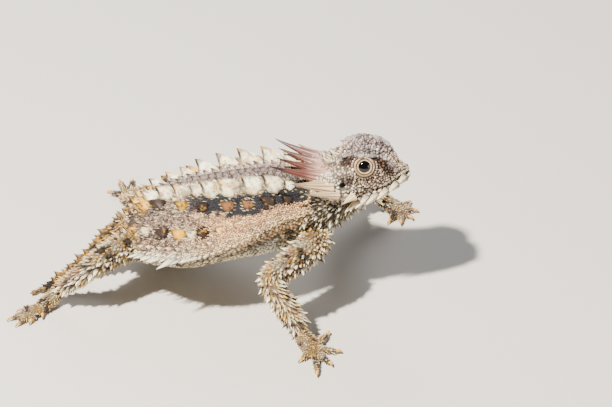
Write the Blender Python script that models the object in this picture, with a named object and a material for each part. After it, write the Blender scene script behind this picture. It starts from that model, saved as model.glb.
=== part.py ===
"""A regal horned lizard, life size, standing with its chest raised on straight forelegs.

Lengths are in millimetres until a point is handed to Blender in metres. X runs forward, Y to the
animal's left and Z up, with the feet on the plane Z = 0.
"""

import math
import random

import bmesh
import bpy
from mathutils import Euler, Matrix, Vector
from mathutils.bvhtree import BVHTree

MM = 0.001
GAP = 0.3

# How the animal holds itself, in degrees. Rolled means its right side is raised.
BODY_YAW = 7.0
BODY_ROLL = 8.0
HEAD_YAW = 4.0
HEAD_ROLL = 10.0

# Back line of the trunk, rear to front: x, y and z of the back, half width at the fringe,
# height of the back over the fringe, and depth of the belly under it.
TRUNK = [
    (-27.0, 5.0, 13.5, 2.0, 1.5, 1.5),
    (-25.0, 4.8, 16.6, 6.5, 4.5, 4.5),
    (-19.0, 4.0, 23.4, 15.5, 8.5, 7.5),
    (-10.0, 2.8, 30.4, 23.5, 12.5, 9.0),
    (0.0, 1.5, 34.6, 26.5, 14.8, 9.8),
    (10.0, 0.2, 38.2, 25.2, 14.6, 11.0),
    (20.0, -1.1, 41.3, 21.0, 13.6, 13.6),
    (28.0, -2.1, 42.6, 15.5, 11.6, 15.6),
    (34.0, -3.0, 41.0, 11.5, 9.2, 14.8),
    (38.0, -3.6, 39.0, 4.0, 5.0, 5.0),
]
ROOF_POWER = 1.7
BELLY_POWER = 2.8

# Centre line of the neck: place along it, x, y, z, half width and half height.
NECK = [
    (0.0, 24.0, -1.6, 30.0, 12.0, 11.0),
    (0.4, 33.0, -3.0, 30.6, 12.6, 11.0),
    (0.7, 39.0, -3.8, 33.8, 11.2, 9.8),
    (1.0, 47.0, -4.4, 39.0, 9.0, 8.0),
]

# Planes that part the head from the neck and the neck from the trunk.
NAPE_AT = Vector((39.4, -4.0, 34.4))
NECK_ROOT_AT = Vector((34.6, -3.4, 31.6))
NAPE_WAY = Vector((0.87, -0.06, 0.49)).normalized()

# Centre line of the tail in the same way.
TAIL = [
    (0.0, -19.0, 4.2, 15.5, 7.0, 6.0),
    (0.25, -26.0, 3.6, 11.6, 5.6, 4.6),
    (0.45, -32.0, 0.8, 7.4, 4.2, 3.3),
    (0.7, -40.0, -4.0, 3.7, 2.7, 2.1),
    (0.88, -46.6, -8.0, 1.2, 1.5, 1.4),
    (1.0, -50.6, -10.4, 0.8, 0.5, 0.6),
]

# The head has a frame of its own: forward, left and up from a point between the eyes.
HEAD_AT = Vector((49.8, -4.5, 46.2))
# Stations from the nape to the snout: forward, top, half width, height of the widest place, bottom.
HEAD = [
    (-17.0, -5.0, 1.5, -5.4, -7.0),
    (-15.8, -3.4, 8.6, -5.4, -9.6),
    (-12.0, -2.0, 11.8, -5.6, -12.6),
    (-8.6, -0.2, 11.8, -5.4, -13.4),
    (-5.6, 2.2, 11.0, -5.2, -13.3),
    (-1.6, 3.7, 9.8, -5.2, -12.8),
    (3.0, 3.0, 8.7, -5.2, -11.4),
    (6.6, 0.9, 7.2, -5.2, -9.8),
    (9.4, -2.0, 5.4, -5.2, -8.2),
    (12.0, -3.5, 3.2, -5.2, -7.0),
    (13.1, -4.9, 0.6, -5.2, -5.8),
]
EYE_AT = (0.0, 7.0, 0.0)
EYE_RADIUS = 2.8
LID_RING = 2.4
LID_THICKNESS = 0.5
LID_OUT = 1.6
LID_TILT = 0.3
# Line of the mouth on the left side, from the snout to the corner; its curve is laid on the skin.
MOUTH = [
    (0.0, 13.6, 0.0, -5.2),
    (0.2, 11.6, 3.4, -5.5),
    (0.35, 9.6, 5.4, -5.9),
    (0.5, 6.8, 7.4, -6.9),
    (0.7, 1.5, 9.4, -8.1),
    (0.87, -2.3, 10.4, -9.9),
    (1.0, -5.7, 11.2, -10.2),
]
MOUTH_STEPS = 14
MOUTH_GROOVE = 0.32
NOSTRIL_AT = (12.3, 1.9, -4.0)
NOSTRIL_RADIUS = 0.45
EAR_AT = (-6.2, 11.0, -5.4)
EAR_RADIUS = 1.2

# Crown: name, root in the head's frame, degrees outward and upward, length and root radius.
STUB_SHARE = 0.22
STUB_LEAST = 2.6
HORNS = [
    ("occipital_inner", (-14.0, 2.3, -3.9), 7.0, 14.0, 12.6, 2.0),
    ("occipital_outer", (-13.2, 6.7, -4.3), 16.0, 14.0, 14.6, 2.3),
    ("temporal_upper", (-11.4, 9.9, -6.0), 28.0, 3.0, 12.4, 2.2),
    ("temporal_middle", (-9.4, 10.7, -8.6), 42.0, 2.0, 8.6, 1.9),
    ("temporal_lower", (-6.4, 10.9, -10.6), 54.0, 0.0, 5.6, 1.5),
]

# Legs: centre line from just inside the body to the ankle or wrist as x, y, z and radius, then the
# palm or sole as its heel, its ball, half width and half height, and the tip of each toe.
LEGS = {
    "foreleg_right": {
        "line": [(35.4, -12.4, 24.2, 4.2), (33.0, -18.5, 22.8, 4.6), (27.5, -24.0, 21.0, 4.1),
                 (21.8, -29.4, 18.4, 3.7), (26.0, -32.3, 10.6, 3.5), (30.6, -35.4, 4.8, 2.7)],
        "palm": ((30.2, -35.0, 3.4), (34.0, -40.6, 1.4), 4.2, 2.2),
        "toes": [(39.0, -30.0), (42.8, -40.6), (39.8, -47.8), (35.2, -52.8), (29.4, -45.6)],
    },
    "foreleg_left": {
        "line": [(35.2, 8.4, 21.2, 4.2), (36.6, 14.5, 19.4, 4.6), (38.5, 23.0, 16.2, 4.1),
                 (41.5, 31.5, 13.2, 3.7), (49.0, 35.0, 9.0, 3.4), (56.2, 37.2, 4.8, 2.7)],
        "palm": ((56.0, 37.2, 3.4), (61.0, 34.8, 1.4), 4.2, 2.2),
        "toes": [(57.2, 27.8), (61.6, 27.0), (65.6, 29.8), (67.6, 34.8), (65.2, 41.0)],
    },
    "hindleg_right": {
        "line": [(-19.0, -6.6, 17.0, 4.2), (-22.6, -10.8, 17.5, 4.6), (-27.0, -15.0, 17.4, 4.1),
                 (-30.8, -18.2, 16.6, 3.5), (-36.6, -17.2, 10.8, 3.0), (-42.8, -14.6, 5.0, 2.4)],
        "palm": ((-43.0, -14.6, 3.4), (-47.4, -18.6, 1.35), 3.7, 2.1),
        "toes": [(-46.6, -23.8), (-50.6, -26.6), (-54.6, -27.6), (-57.4, -24.6), (-55.0, -19.6)],
    },
    "hindleg_left": {
        "line": [(-17.6, 14.0, 13.0, 4.2), (-16.6, 19.4, 12.8, 4.6), (-12.6, 25.4, 12.6, 4.1),
                 (-7.4, 31.6, 12.2, 3.5), (-14.6, 34.4, 8.6, 3.0), (-23.4, 36.4, 5.0, 2.4)],
        "palm": ((-23.4, 36.4, 3.4), (-24.4, 41.6, 1.35), 3.7, 2.1),
        "toes": [(-17.4, 45.8), (-19.4, 50.4), (-23.4, 53.8), (-28.2, 53.4), (-31.6, 46.4)],
    },
}
KNEE_PLACE = 0.6
ANKLE_PLACE = 0.96
BLADE_REACH = 1.8
TOE_ROOT_RADIUS = 1.55
TOE_TIP_RADIUS = 1.15
TOE_KNUCKLE_RISE = 1.5
TOE_TIP_HEIGHT = 0.85
CLAW_LENGTH = 2.2
CLAW_RADIUS = 0.6

# Rows of spines on the trunk, the same on each side: how far across at x = 0, from 0 on the
# midline to 1 on the fringe, how that changes with x, first and last x, spacing, half length,
# half width and height.
ROWS = [
    (0.275, 0.0035, -19.5, 27.0, 5.2, 2.5, 2.1, 3.0),
    (0.08, 0.0, -16.0, 26.0, 5.2, 0.9, 0.7, 1.1),
    (0.48, 0.0070, -21.0, 29.0, 5.9, 1.9, 1.6, 2.4),
    (0.77, 0.0030, -18.0, 12.0, 5.2, 1.5, 1.3, 1.8),
]
SPINE_SINK = 0.35
SPINE_LEAN = 0.45

# Fringe: first and last x, spacing, and the length of its scales; the longest stand behind the middle.
FRINGE = (-21.0, 25.0, 2.3)
FRINGE_LENGTH = 2.9
FRINGE_EXTRA = 1.9
FRINGE_THICKNESS = 0.4

# Chin shields along each side of the jaw, from the front one to the hindmost, in the head's frame.
CHIN_FRONT = (10.6, 3.6, -7.0)
CHIN_REAR = (-1.8, 8.6, -10.6)
CHIN_COUNT = 8
CHIN_LENGTH = (1.4, 5.2)

# Spines of head and neck: place in the head's frame, way they point, length and root radius.
HEAD_SPINES = [
    ((-11.6, 2.2, -2.0), (-0.5, 0.1, 1.0), 2.2, 0.8),
    ((-7.0, 7.0, 0.8), (-0.9, 0.35, 0.45), 1.7, 0.8),
    ((-4.6, 7.2, 2.4), (-0.8, 0.5, 0.5), 1.0, 0.6),
    ((-5.0, 10.4, -11.6), (-0.5, 0.8, -0.35), 1.6, 0.9),
]
NECK_ROWS = [(150.0, 4), (175.0, 4), (200.0, 4), (5.0, 4), (30.0, 4), (-20.0, 4)]
NECK_SPINE = (2.2, 0.8)
LEG_ROWS = (5.0, 50.0, 130.0, 175.0)
LEG_SPINES = 8
LEG_SPINE = (1.5, 0.75)
TAIL_ROWS = (0.0, 55.0, 125.0, 180.0)
TAIL_SPINES = 11
TAIL_SPINE = (2.0, 0.9)

SKIN_COLOURS = {
    "head": (0.46, 0.36, 0.30),
    "neck": (0.36, 0.30, 0.25),
    "torso": (0.55, 0.42, 0.31),
    "tail": (0.52, 0.40, 0.26),
    "leg": (0.58, 0.47, 0.30),
    "horn": (0.42, 0.22, 0.17),
    "eye": (0.02, 0.015, 0.01),
}
SKIN_ROUGHNESS = 0.75
EYE_ROUGHNESS = 0.08


def follow(stations, t):
    """The values at t on smooth curves through the stations, each of them (t, value, value...)."""
    last = len(stations) - 1
    i = min(max(sum(station[0] <= t for station in stations) - 1, 0), last - 1)
    near, far = stations[i], stations[i + 1]
    before, after = stations[max(i - 1, 0)], stations[min(i + 2, last)]
    span = far[0] - near[0]
    x = min(max((t - near[0]) / span, 0.0), 1.0)
    values = []
    for k in range(1, len(near)):
        rise_near = span * (far[k] - before[k]) / (far[0] - before[0])
        rise_far = span * (after[k] - near[k]) / (after[0] - near[0])
        values.append(
            (2 * x**3 - 3 * x**2 + 1) * near[k]
            + (x**3 - 2 * x**2 + x) * rise_near
            + (3 * x**2 - 2 * x**3) * far[k]
            + (x**3 - x**2) * rise_far
        )
    return values


def posed(origin, yaw, roll):
    """A frame at origin with forward, left and up axes, turned to the right by yaw and rolled."""
    turn = Euler((math.radians(-roll), 0.0, math.radians(-yaw)), "XYZ").to_matrix().to_4x4()
    return Matrix.Translation(origin) @ turn


def signed_power(value, power):
    return math.copysign(abs(value) ** power, value)


def mesh_object(name, bm):
    """An object from a closed bmesh in millimetres, its faces turned outward."""
    bmesh.ops.recalc_face_normals(bm, faces=bm.faces)
    if bm.calc_volume(signed=True) < 0:
        bmesh.ops.reverse_faces(bm, faces=bm.faces)
    mesh = bpy.data.meshes.new(name)
    bm.to_mesh(mesh)
    bm.free()
    mesh.transform(Matrix.Scale(MM, 4))
    mesh.shade_smooth()
    body = bpy.data.objects.new(name, mesh)
    bpy.context.scene.collection.objects.link(body)
    return body


def form(name, around, along, place):
    """A closed form: a sphere whose points go to place(t, angle), with t from 0 to 1, pole to pole."""
    bm = bmesh.new()
    bmesh.ops.create_uvsphere(bm, u_segments=around, v_segments=along, radius=1.0)
    for vertex in bm.verts:
        t = math.acos(max(-1.0, min(1.0, -vertex.co.z))) / math.pi
        vertex.co = place(t, math.atan2(vertex.co.y, vertex.co.x))
    return mesh_object(name, bm)


def trunk_place(t, angle):
    x = TRUNK[0][0] + (TRUNK[-1][0] - TRUNK[0][0]) * (1 - math.cos(math.pi * t)) / 2
    y, z, half, roof, belly = follow(TRUNK, x)
    across = signed_power(math.cos(angle), 0.8) if 0 < t < 1 else 0.0
    if math.sin(angle) >= 0:
        up = -roof * abs(across) ** ROOF_POWER
    else:
        up = -roof - belly * (1 - abs(across) ** BELLY_POWER)
    end = posed(Vector((x, y, z)), BODY_YAW, BODY_ROLL)
    if t in (0, 1):
        return end @ Vector((0.0, 0.0, -roof))
    return end @ Vector((0.0, half * across, up))


def swept_place(stations):
    """The place function of a rounded form swept along a centre line with half width and height."""

    def place(t, angle):
        s = (1 - math.cos(math.pi * t)) / 2
        x, y, z, wide, high = follow(stations, s)
        ahead = Vector(follow(stations, min(s + 0.02, 1.0))[:3])
        behind = Vector(follow(stations, max(s - 0.02, 0.0))[:3])
        forward = (ahead - behind).normalized()
        left = Vector((0.0, 0.0, 1.0)).cross(forward).normalized()
        up = forward.cross(left)
        ring = min(1.0, 2.2 * math.sin(math.pi * t))
        return Vector((x, y, z)) + ring * (wide * math.cos(angle) * left + high * math.sin(angle) * up)

    return place


def midline(x):
    """The middle of the back leans a little to the left behind and to the right in front."""
    return max(-4.0, min(4.0, 0.9 - 0.165 * x))


def back_point(x, across):
    """A place on the back at station x, from -1 on the right fringe to 1 on the left."""
    y, z, half, roof, _ = follow(TRUNK, x)
    side = half * across + midline(x) * (1 - abs(across))
    up = -roof * abs(side / half) ** ROOF_POWER
    return posed(Vector((x, y, z)), BODY_YAW, BODY_ROLL) @ Vector((0.0, side, up))


def wobble(number):
    """A steady scatter from -1 to 1 that tells one spine from the next."""
    return 2.0 * ((math.sin(12.9898 * number) * 43758.5453) % 1.0) - 1.0


def head_frame():
    return posed(HEAD_AT, HEAD_YAW, HEAD_ROLL)


def bump(value, centre, reach):
    return math.exp(-(((value - centre) / reach) ** 2))


def head_place(t, angle):
    u = HEAD[0][0] + (HEAD[-1][0] - HEAD[0][0]) * (1 - math.cos(math.pi * t)) / 2
    top, half, mid, bottom = follow(HEAD, u)
    if t in (0, 1):
        return head_frame() @ Vector((u, 0.0, mid))
    across, rise = math.cos(angle), math.sin(angle)
    if rise >= 0:
        v = half * signed_power(across, 0.55)
        w = mid + (top - mid) * rise**0.8
    else:
        v = half * signed_power(across, 0.8)
        w = mid + (mid - bottom) * signed_power(rise, 0.9)
    degrees = math.degrees(math.atan2(rise, abs(across)))
    brow = 1.25 * bump(u, 0.5, 6.0) * bump(degrees, 56.0, 14.0)
    orbit = 1.5 * bump(u, 0.0, 4.4) * bump(degrees, 28.0, 16.0)
    v += math.copysign(brow - orbit, across)
    w += 0.5 * brow
    return head_frame() @ Vector((u, v, w))


def joined(pieces, name):
    """One closed object from closed pieces that overlap."""
    group = bpy.data.collections.new(name + "_pieces")
    for piece in pieces[1:]:
        group.objects.link(piece)
    whole = pieces[0]
    union = whole.modifiers.new("join", "BOOLEAN")
    union.operation = "UNION"
    union.solver = "MANIFOLD"
    union.operand_type = "COLLECTION"
    union.collection = group
    apply_modifiers(whole)
    for piece in pieces[1:]:
        bpy.data.objects.remove(piece)
    bpy.data.collections.remove(group)
    whole.name = name
    return whole


def carved(whole, cutters):
    """The object with every cutter taken away, and the cutters removed."""
    group = bpy.data.collections.new(whole.name + "_cutters")
    for cutter in cutters:
        group.objects.link(cutter)
    cut = whole.modifiers.new("cut", "BOOLEAN")
    cut.operation = "DIFFERENCE"
    cut.solver = "MANIFOLD"
    cut.operand_type = "COLLECTION"
    cut.collection = group
    apply_modifiers(whole)
    for cutter in cutters:
        bpy.data.objects.remove(cutter)
    bpy.data.collections.remove(group)
    return whole


def apply_modifiers(body):
    bpy.context.view_layer.update()
    evaluated = body.evaluated_get(bpy.context.evaluated_depsgraph_get())
    mesh = bpy.data.meshes.new_from_object(evaluated)
    body.modifiers.clear()
    old = body.data
    body.data = mesh
    bpy.data.meshes.remove(old)


def pieces_of(body):
    """The separate closed surfaces of an object, each as a bmesh, largest first."""
    bm = bmesh.new()
    bm.from_mesh(body.data)
    bm.verts.ensure_lookup_table()
    left = set(bm.verts)
    groups = []
    while left:
        stack = [left.pop()]
        group = set(stack)
        while stack:
            vertex = stack.pop()
            for edge in vertex.link_edges:
                other = edge.other_vert(vertex)
                if other in left:
                    left.remove(other)
                    group.add(other)
                    stack.append(other)
        groups.append(group)
    found = []
    for group in groups:
        copy = bm.copy()
        copy.verts.ensure_lookup_table()
        keep = {vertex.index for vertex in group}
        bmesh.ops.delete(copy, geom=[v for v in copy.verts if v.index not in keep], context="VERTS")
        found.append(copy)
    bm.free()
    found.sort(key=lambda piece: -abs(piece.calc_volume()))
    return found


def keep_largest(body):
    found = pieces_of(body)
    found[0].to_mesh(body.data)
    for piece in found:
        piece.free()


def slab(at, normal, radius):
    """A round knife blade as thick as the gap between two parts."""
    bm = bmesh.new()
    bmesh.ops.create_cone(bm, cap_ends=True, segments=24, radius1=radius, radius2=radius, depth=GAP)
    turn = Vector((0.0, 0.0, 1.0)).rotation_difference(Vector(normal)).to_matrix().to_4x4()
    bmesh.ops.transform(bm, matrix=Matrix.Translation(at) @ turn, verts=bm.verts)
    return mesh_object("blade", bm)


def cone(name, root, tip, root_radius, tip_radius, sides):
    bm = bmesh.new()
    root, tip = Vector(root), Vector(tip)
    bmesh.ops.create_cone(
        bm, cap_ends=True, segments=sides, radius1=root_radius, radius2=tip_radius, depth=(tip - root).length
    )
    turn = Vector((0.0, 0.0, 1.0)).rotation_difference(tip - root).to_matrix().to_4x4()
    bmesh.ops.transform(bm, matrix=Matrix.Translation((root + tip) / 2) @ turn, verts=bm.verts)
    return mesh_object(name, bm)


def ball(name, at, radius, around=16, along=10):
    bm = bmesh.new()
    bmesh.ops.create_uvsphere(bm, u_segments=around, v_segments=along, radius=radius)
    bmesh.ops.transform(bm, matrix=Matrix.Translation(at), verts=bm.verts)
    return mesh_object(name, bm)


def leg_stations(leg):
    last = len(leg["line"]) - 1
    return [(i / last, *point) for i, point in enumerate(leg["line"])]


def limb(name, leg, grown):
    """The limb down to its ankle or wrist, grown on every side."""
    stations = [(s, x, y, z, r + grown, 0.92 * r + grown) for s, x, y, z, r in leg_stations(leg)]
    root = Vector(stations[0][1:4])
    back = (root - Vector(stations[1][1:4])).normalized()
    stations[0] = (0.0, *(root + grown * back), *stations[0][4:])
    return form(name, 12, 15, swept_place(stations))


def leg_forms(name, leg):
    """The limb, its palm or sole, and its toes with their claws, all overlapping."""
    found = [limb(name, leg, 0.0)]
    heel, ball_of_foot, wide, high = leg["palm"]
    heel, ball_of_foot = Vector(heel), Vector(ball_of_foot)
    ahead = (ball_of_foot - heel).normalized()
    found.append(
        form(name + "_palm", 12, 8, swept_place([
            (0.0, *(heel - 1.5 * ahead), 2.4, 2.2),
            (0.5, *((heel + ball_of_foot) / 2), wide * 0.85, high),
            (1.0, *(ball_of_foot + 1.2 * ahead), wide, high * 0.75),
        ]))
    )
    for number, (x, y) in enumerate(leg["toes"]):
        tip = Vector((x, y, 0.7))
        out = (tip - ball_of_foot).normalized()
        claw_root = tip - CLAW_LENGTH * 0.8 * Vector((out.x, out.y, 0.0)).normalized()
        claw_root.z = TOE_TIP_HEIGHT
        root = ball_of_foot + 0.8 * out + Vector((0.0, 0.0, 0.1))
        knuckle = root.lerp(claw_root, 0.5)
        knuckle.z = TOE_KNUCKLE_RISE
        toe = [
            (0.0, *root, TOE_ROOT_RADIUS, TOE_ROOT_RADIUS),
            (0.5, *knuckle, (TOE_ROOT_RADIUS + TOE_TIP_RADIUS) / 2, (TOE_ROOT_RADIUS + TOE_TIP_RADIUS) / 2),
            (1.0, *claw_root, TOE_TIP_RADIUS, TOE_TIP_RADIUS),
        ]
        found.append(form(f"{name}_toe_{number}", 6, 7, swept_place(toe)))
        tip.z = 0.25
        claw_root.z = 1.05
        found.append(cone(f"{name}_claw_{number}", claw_root - 0.5 * out, tip, CLAW_RADIUS, 0.12, 5))
    return found


def leg_cuts(leg):
    """Blades at the elbow or knee and at the wrist or ankle."""
    stations = leg_stations(leg)
    blades = []
    for s in (KNEE_PLACE, ANKLE_PLACE):
        x, y, z, r = follow(stations, s)
        ahead = Vector(follow(stations, min(s + 0.03, 1.0))[:3])
        behind = Vector(follow(stations, s - 0.03)[:3])
        blades.append((Vector((x, y, z)), (ahead - behind).normalized(), BLADE_REACH * r))
    return blades


def material(name, colour, roughness):
    finish = bpy.data.materials.new(name)
    finish.use_nodes = True
    shader = finish.node_tree.nodes["Principled BSDF"]
    shader.inputs["Base Color"].default_value = (*colour, 1.0)
    shader.inputs["Roughness"].default_value = roughness
    shader.inputs["Metallic"].default_value = 0.0
    return finish


def both_sides(name, place):
    """A right and a left copy of a place given for the left side."""
    u, v, w = place
    return [(name + "_right", Vector((u, -v, w)), -1.0), (name + "_left", Vector((u, v, w)), 1.0)]


def trunk_whole():
    """Trunk, neck, head and tail made one, with a thin cut round the root of each leg."""
    whole = joined(
        [
            form("whole", 32, 28, trunk_place),
            form("neck_form", 20, 12, swept_place(NECK)),
            form("tail_form", 12, 16, swept_place(TAIL)),
            form("head_form", 32, 26, head_place),
        ],
        "whole",
    )
    return carved(whole, [limb(name + "_room", leg, GAP) for name, leg in LEGS.items()])


def trunk_blades():
    """Where the trunk is parted from head, neck and tail."""
    blades = [(NAPE_AT, NAPE_WAY, 22.0), (NECK_ROOT_AT, NAPE_WAY, 20.0)]
    for s, radius in ((0.26, 9.0), (0.62, 6.0)):
        x, y, z, _, _ = follow(TAIL, s)
        ahead = Vector(follow(TAIL, s + 0.03)[:3])
        behind = Vector(follow(TAIL, s - 0.03)[:3])
        blades.append((Vector((x, y, z)), (ahead - behind).normalized(), radius))
    return blades


def half_space(name, at, way, size=200.0):
    """A block that fills everything on the far side of a plane."""
    bm = bmesh.new()
    bmesh.ops.create_cube(bm, size=size)
    turn = Vector((0.0, 0.0, 1.0)).rotation_difference(way).to_matrix().to_4x4()
    bmesh.ops.transform(bm, matrix=Matrix.Translation(at + way * size / 2) @ turn, verts=bm.verts)
    return mesh_object(name, bm)


def ground():
    return half_space("ground", Vector((0.0, 0.0, 0.0)), Vector((0.0, 0.0, -1.0)))


def parted(whole, blades, seeds):
    """The whole cut by its blades, as a part for each seed: the piece that lies nearest to it."""
    carved(whole, [slab(*blade) for blade in blades] + [ground()])
    pieces = pieces_of(whole)
    trees = [BVHTree.FromBMesh(piece) for piece in pieces]
    parts = {}
    for name, seed in seeds.items():
        nearest = min(range(len(pieces)), key=lambda i: trees[i].find_nearest(seed * MM)[3])
        mesh = bpy.data.meshes.new(name)
        pieces[nearest].to_mesh(mesh)
        mesh.shade_smooth()
        parts[name] = bpy.data.objects.new(name, mesh)
        bpy.context.scene.collection.objects.link(parts[name])
    bpy.data.objects.remove(whole)
    for piece in pieces:
        piece.free()
    return parts


def trunk_parts():
    seeds = {
        "head": head_frame() @ Vector((0.0, 0.0, -6.0)),
        "neck": Vector((37.0, -3.7, 33.0)),
        "torso": Vector((0.0, 1.5, 22.0)),
        "tail_root": Vector(follow(TAIL, 0.42)[:3]),
        "tail_tip": Vector(follow(TAIL, 0.8)[:3]),
    }
    return parted(trunk_whole(), trunk_blades(), seeds)


def leg_parts(name, leg):
    stations = leg_stations(leg)
    seeds = {
        name + "_upper": Vector(follow(stations, 0.3)[:3]),
        name + "_lower": Vector(follow(stations, 0.8)[:3]),
        name + "_foot": Vector(leg["palm"][1]),
    }
    return parted(joined(leg_forms(name, leg), name), leg_cuts(leg), seeds)


def horn_line(root, side, outward, upward, length):
    """Root and tip of a horn in the world, from its root in the head's frame."""
    turn = math.radians(outward)
    rise = math.radians(upward)
    way = Vector((-math.cos(turn) * math.cos(rise), side * math.sin(turn) * math.cos(rise), math.sin(rise)))
    frame = head_frame()
    return frame @ root, frame @ (root + length * way)


def crown(parts):
    """The horns as parts of their own, each set on a short stub that grows from the head.

    Neck and trunk make room for horns and stubs. Returns the stubs, and the room that the head
    leaves round each horn.
    """
    stubs = []
    rooms = []
    trunk_rooms = []
    clearings = []
    for name, root, outward, upward, length, radius in HORNS:
        for side_name, at, side in both_sides("horn_" + name, root):
            start, tip = horn_line(at, side, outward, upward, length)
            way = (tip - start).normalized()
            foot = max(STUB_SHARE * length, STUB_LEAST)
            taper = radius / length
            stub_ends = (radius + taper, radius - taper * foot)
            stubs.append(cone("stub", start - way, start + foot * way, *stub_ends, 8))
            room_ends = (stub_ends[0] + GAP, stub_ends[1] + GAP)
            rooms.append(cone("room", start - 1.3 * way, start + (foot + GAP) * way, *room_ends, 8))
            base = start + (foot + GAP) * way
            wide = radius - taper * foot + GAP
            ends = (base - 0.9 * GAP * way, tip + way)
            clearings.append(cone("clearing", *ends, wide, GAP, 8))
            rooms.append(cone("room", *ends, wide, GAP, 8))
            trunk_rooms.append(cone("room", *ends, wide, GAP, 8))
            parts[side_name] = cone(side_name, base, tip, radius - taper * (foot + GAP), 0.18, 8)
    carved(parts["neck"], rooms)
    keep_largest(parts["neck"])
    carved(parts["torso"], trunk_rooms)
    keep_largest(parts["torso"])
    return stubs, clearings


def lids():
    """A ring of lid round each eye, which the socket is then cut through."""
    found = []
    for _, at, side in both_sides("eye", EYE_AT):
        bm = bmesh.new()
        bmesh.ops.create_circle(bm, cap_ends=True, segments=6, radius=LID_THICKNESS)
        bmesh.ops.rotate(bm, matrix=Matrix.Rotation(math.pi / 2, 3, "X"), verts=bm.verts)
        bmesh.ops.translate(bm, vec=(LID_RING, 0.0, 0.0), verts=bm.verts)
        bmesh.ops.delete(bm, geom=bm.faces[:], context="FACES_ONLY")
        bmesh.ops.spin(
            bm, geom=bm.verts[:] + bm.edges[:], axis=(0.0, 0.0, 1.0), cent=(0.0, 0.0, 0.0),
            angle=2 * math.pi, steps=18, use_merge=True,
        )
        out = Vector((0.12, side, LID_TILT))
        turn = Vector((0.0, 0.0, 1.0)).rotation_difference(out).to_matrix().to_4x4()
        rim = at + LID_OUT * out.normalized()
        matrix = head_frame() @ Matrix.Translation(rim) @ turn
        bmesh.ops.transform(bm, matrix=matrix, verts=bm.verts)
        found.append(mesh_object("lid", bm))
    return found


def mouth_groove(head):
    """A thin tube along the line of the mouth, laid on the skin of the head."""
    half = [Vector(follow(MOUTH, i / MOUTH_STEPS)) for i in range(MOUTH_STEPS + 1)]
    outline = [Vector((p.x, -p.y, p.z)) for p in reversed(half)] + half[1:]
    bm = bmesh.new()
    bm.from_mesh(head.data)
    skin = BVHTree.FromBMesh(bm)
    bm.free()
    curve = bpy.data.curves.new("mouth", "CURVE")
    curve.dimensions = "3D"
    curve.bevel_depth = MOUTH_GROOVE * MM
    curve.bevel_resolution = 0
    curve.use_fill_caps = True
    spline = curve.splines.new("POLY")
    spline.points.add(len(outline) - 1)
    frame = head_frame()
    for point, place in zip(spline.points, outline):
        point.co = (*skin.find_nearest(frame @ place * MM)[0], 1.0)
    line = bpy.data.objects.new("mouth", curve)
    bpy.context.scene.collection.objects.link(line)
    bpy.context.view_layer.update()
    mesh = bpy.data.meshes.new_from_object(line.evaluated_get(bpy.context.evaluated_depsgraph_get()))
    bm = bmesh.new()
    bm.from_mesh(mesh)
    bmesh.ops.remove_doubles(bm, verts=bm.verts, dist=1e-7)
    bmesh.ops.scale(bm, vec=(1 / MM,) * 3, verts=bm.verts)
    bpy.data.objects.remove(line)
    bpy.data.meshes.remove(mesh)
    return mesh_object("mouth_groove", bm)


def head_details(parts):
    """Stubs and lids joined to the head; sockets, mouth, nostrils and ears cut from it."""
    stubs, clearings = crown(parts)
    head = joined([parts["head"]] + stubs + lids(), "head")
    frame = head_frame()
    cutters = [mouth_groove(head)] + clearings
    for name, at, side in both_sides("eye", EYE_AT):
        cutters.append(ball("socket", frame @ at, EYE_RADIUS + GAP, 16, 10))
        parts[name] = ball(name, frame @ at, EYE_RADIUS, 12, 8)
    for _, at, side in both_sides("nostril", NOSTRIL_AT):
        cutters.append(ball("nostril", frame @ at, NOSTRIL_RADIUS, 8, 6))
    for _, at, side in both_sides("ear", EAR_AT):
        cutters.append(ball("ear", frame @ at, EAR_RADIUS, 12, 8))
    carved(head, cutters)
    keep_largest(head)
    parts["head"] = head


def thorn(at, stand, along, length, width, height):
    """A four-sided spine: half length and half width at its foot, which is sunk under the skin."""
    stand = stand.normalized()
    along = (along - along.dot(stand) * stand).normalized()
    side = stand.cross(along)
    bm = bmesh.new()
    bmesh.ops.create_cone(bm, cap_ends=True, segments=4, radius1=1.0, radius2=0.0, depth=1.0)
    bmesh.ops.translate(bm, vec=(0.0, 0.0, 0.5), verts=bm.verts)
    full = height * (1 + SPINE_SINK)
    foot = at - SPINE_SINK * height * stand
    columns = (along * length, side * width, stand * full)
    matrix = Matrix([[columns[k][i] for k in range(3)] + [foot[i]] for i in range(3)] + [[0, 0, 0, 1]])
    bmesh.ops.transform(bm, matrix=matrix, verts=bm.verts)
    return mesh_object("thorn", bm)


def tree_of(body):
    bm = bmesh.new()
    bm.from_mesh(body.data)
    tree = BVHTree.FromBMesh(bm)
    bm.free()
    return tree


def grown(parts, name, plans):
    """Joins to a part the spines that root on it and keep clear of every other part."""
    trees = {other: tree_of(body) for other, body in parts.items()}
    own = trees.pop(name)
    thorns = []
    for at, lean, along, length, width, height in plans:
        place, normal, _, away = own.find_nearest(at * MM)
        if away > 1.2 * MM:
            continue
        place = place / MM
        stand = lean if normal is None else (normal + lean).normalized()
        reach = [place + height * stand * step for step in (0.0, 0.5, 1.0)]
        wide = [max(length, width) * (1 - step) for step in (0.0, 0.5, 1.0)]
        room = min(
            min(tree.find_nearest(point * MM)[3] / MM - broad for point, broad in zip(reach, wide))
            for tree in trees.values()
        )
        low = min(point.z - broad for point, broad in zip(reach, wide))
        if room > GAP and low > 0.1:
            thorns.append(thorn(place, stand, along, length, width, height))
    if thorns:
        parts[name] = joined([parts[name]] + thorns, name)
        keep_largest(parts[name])
    print(name, len(thorns), "spines", len(parts[name].data.polygons), "faces")


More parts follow.
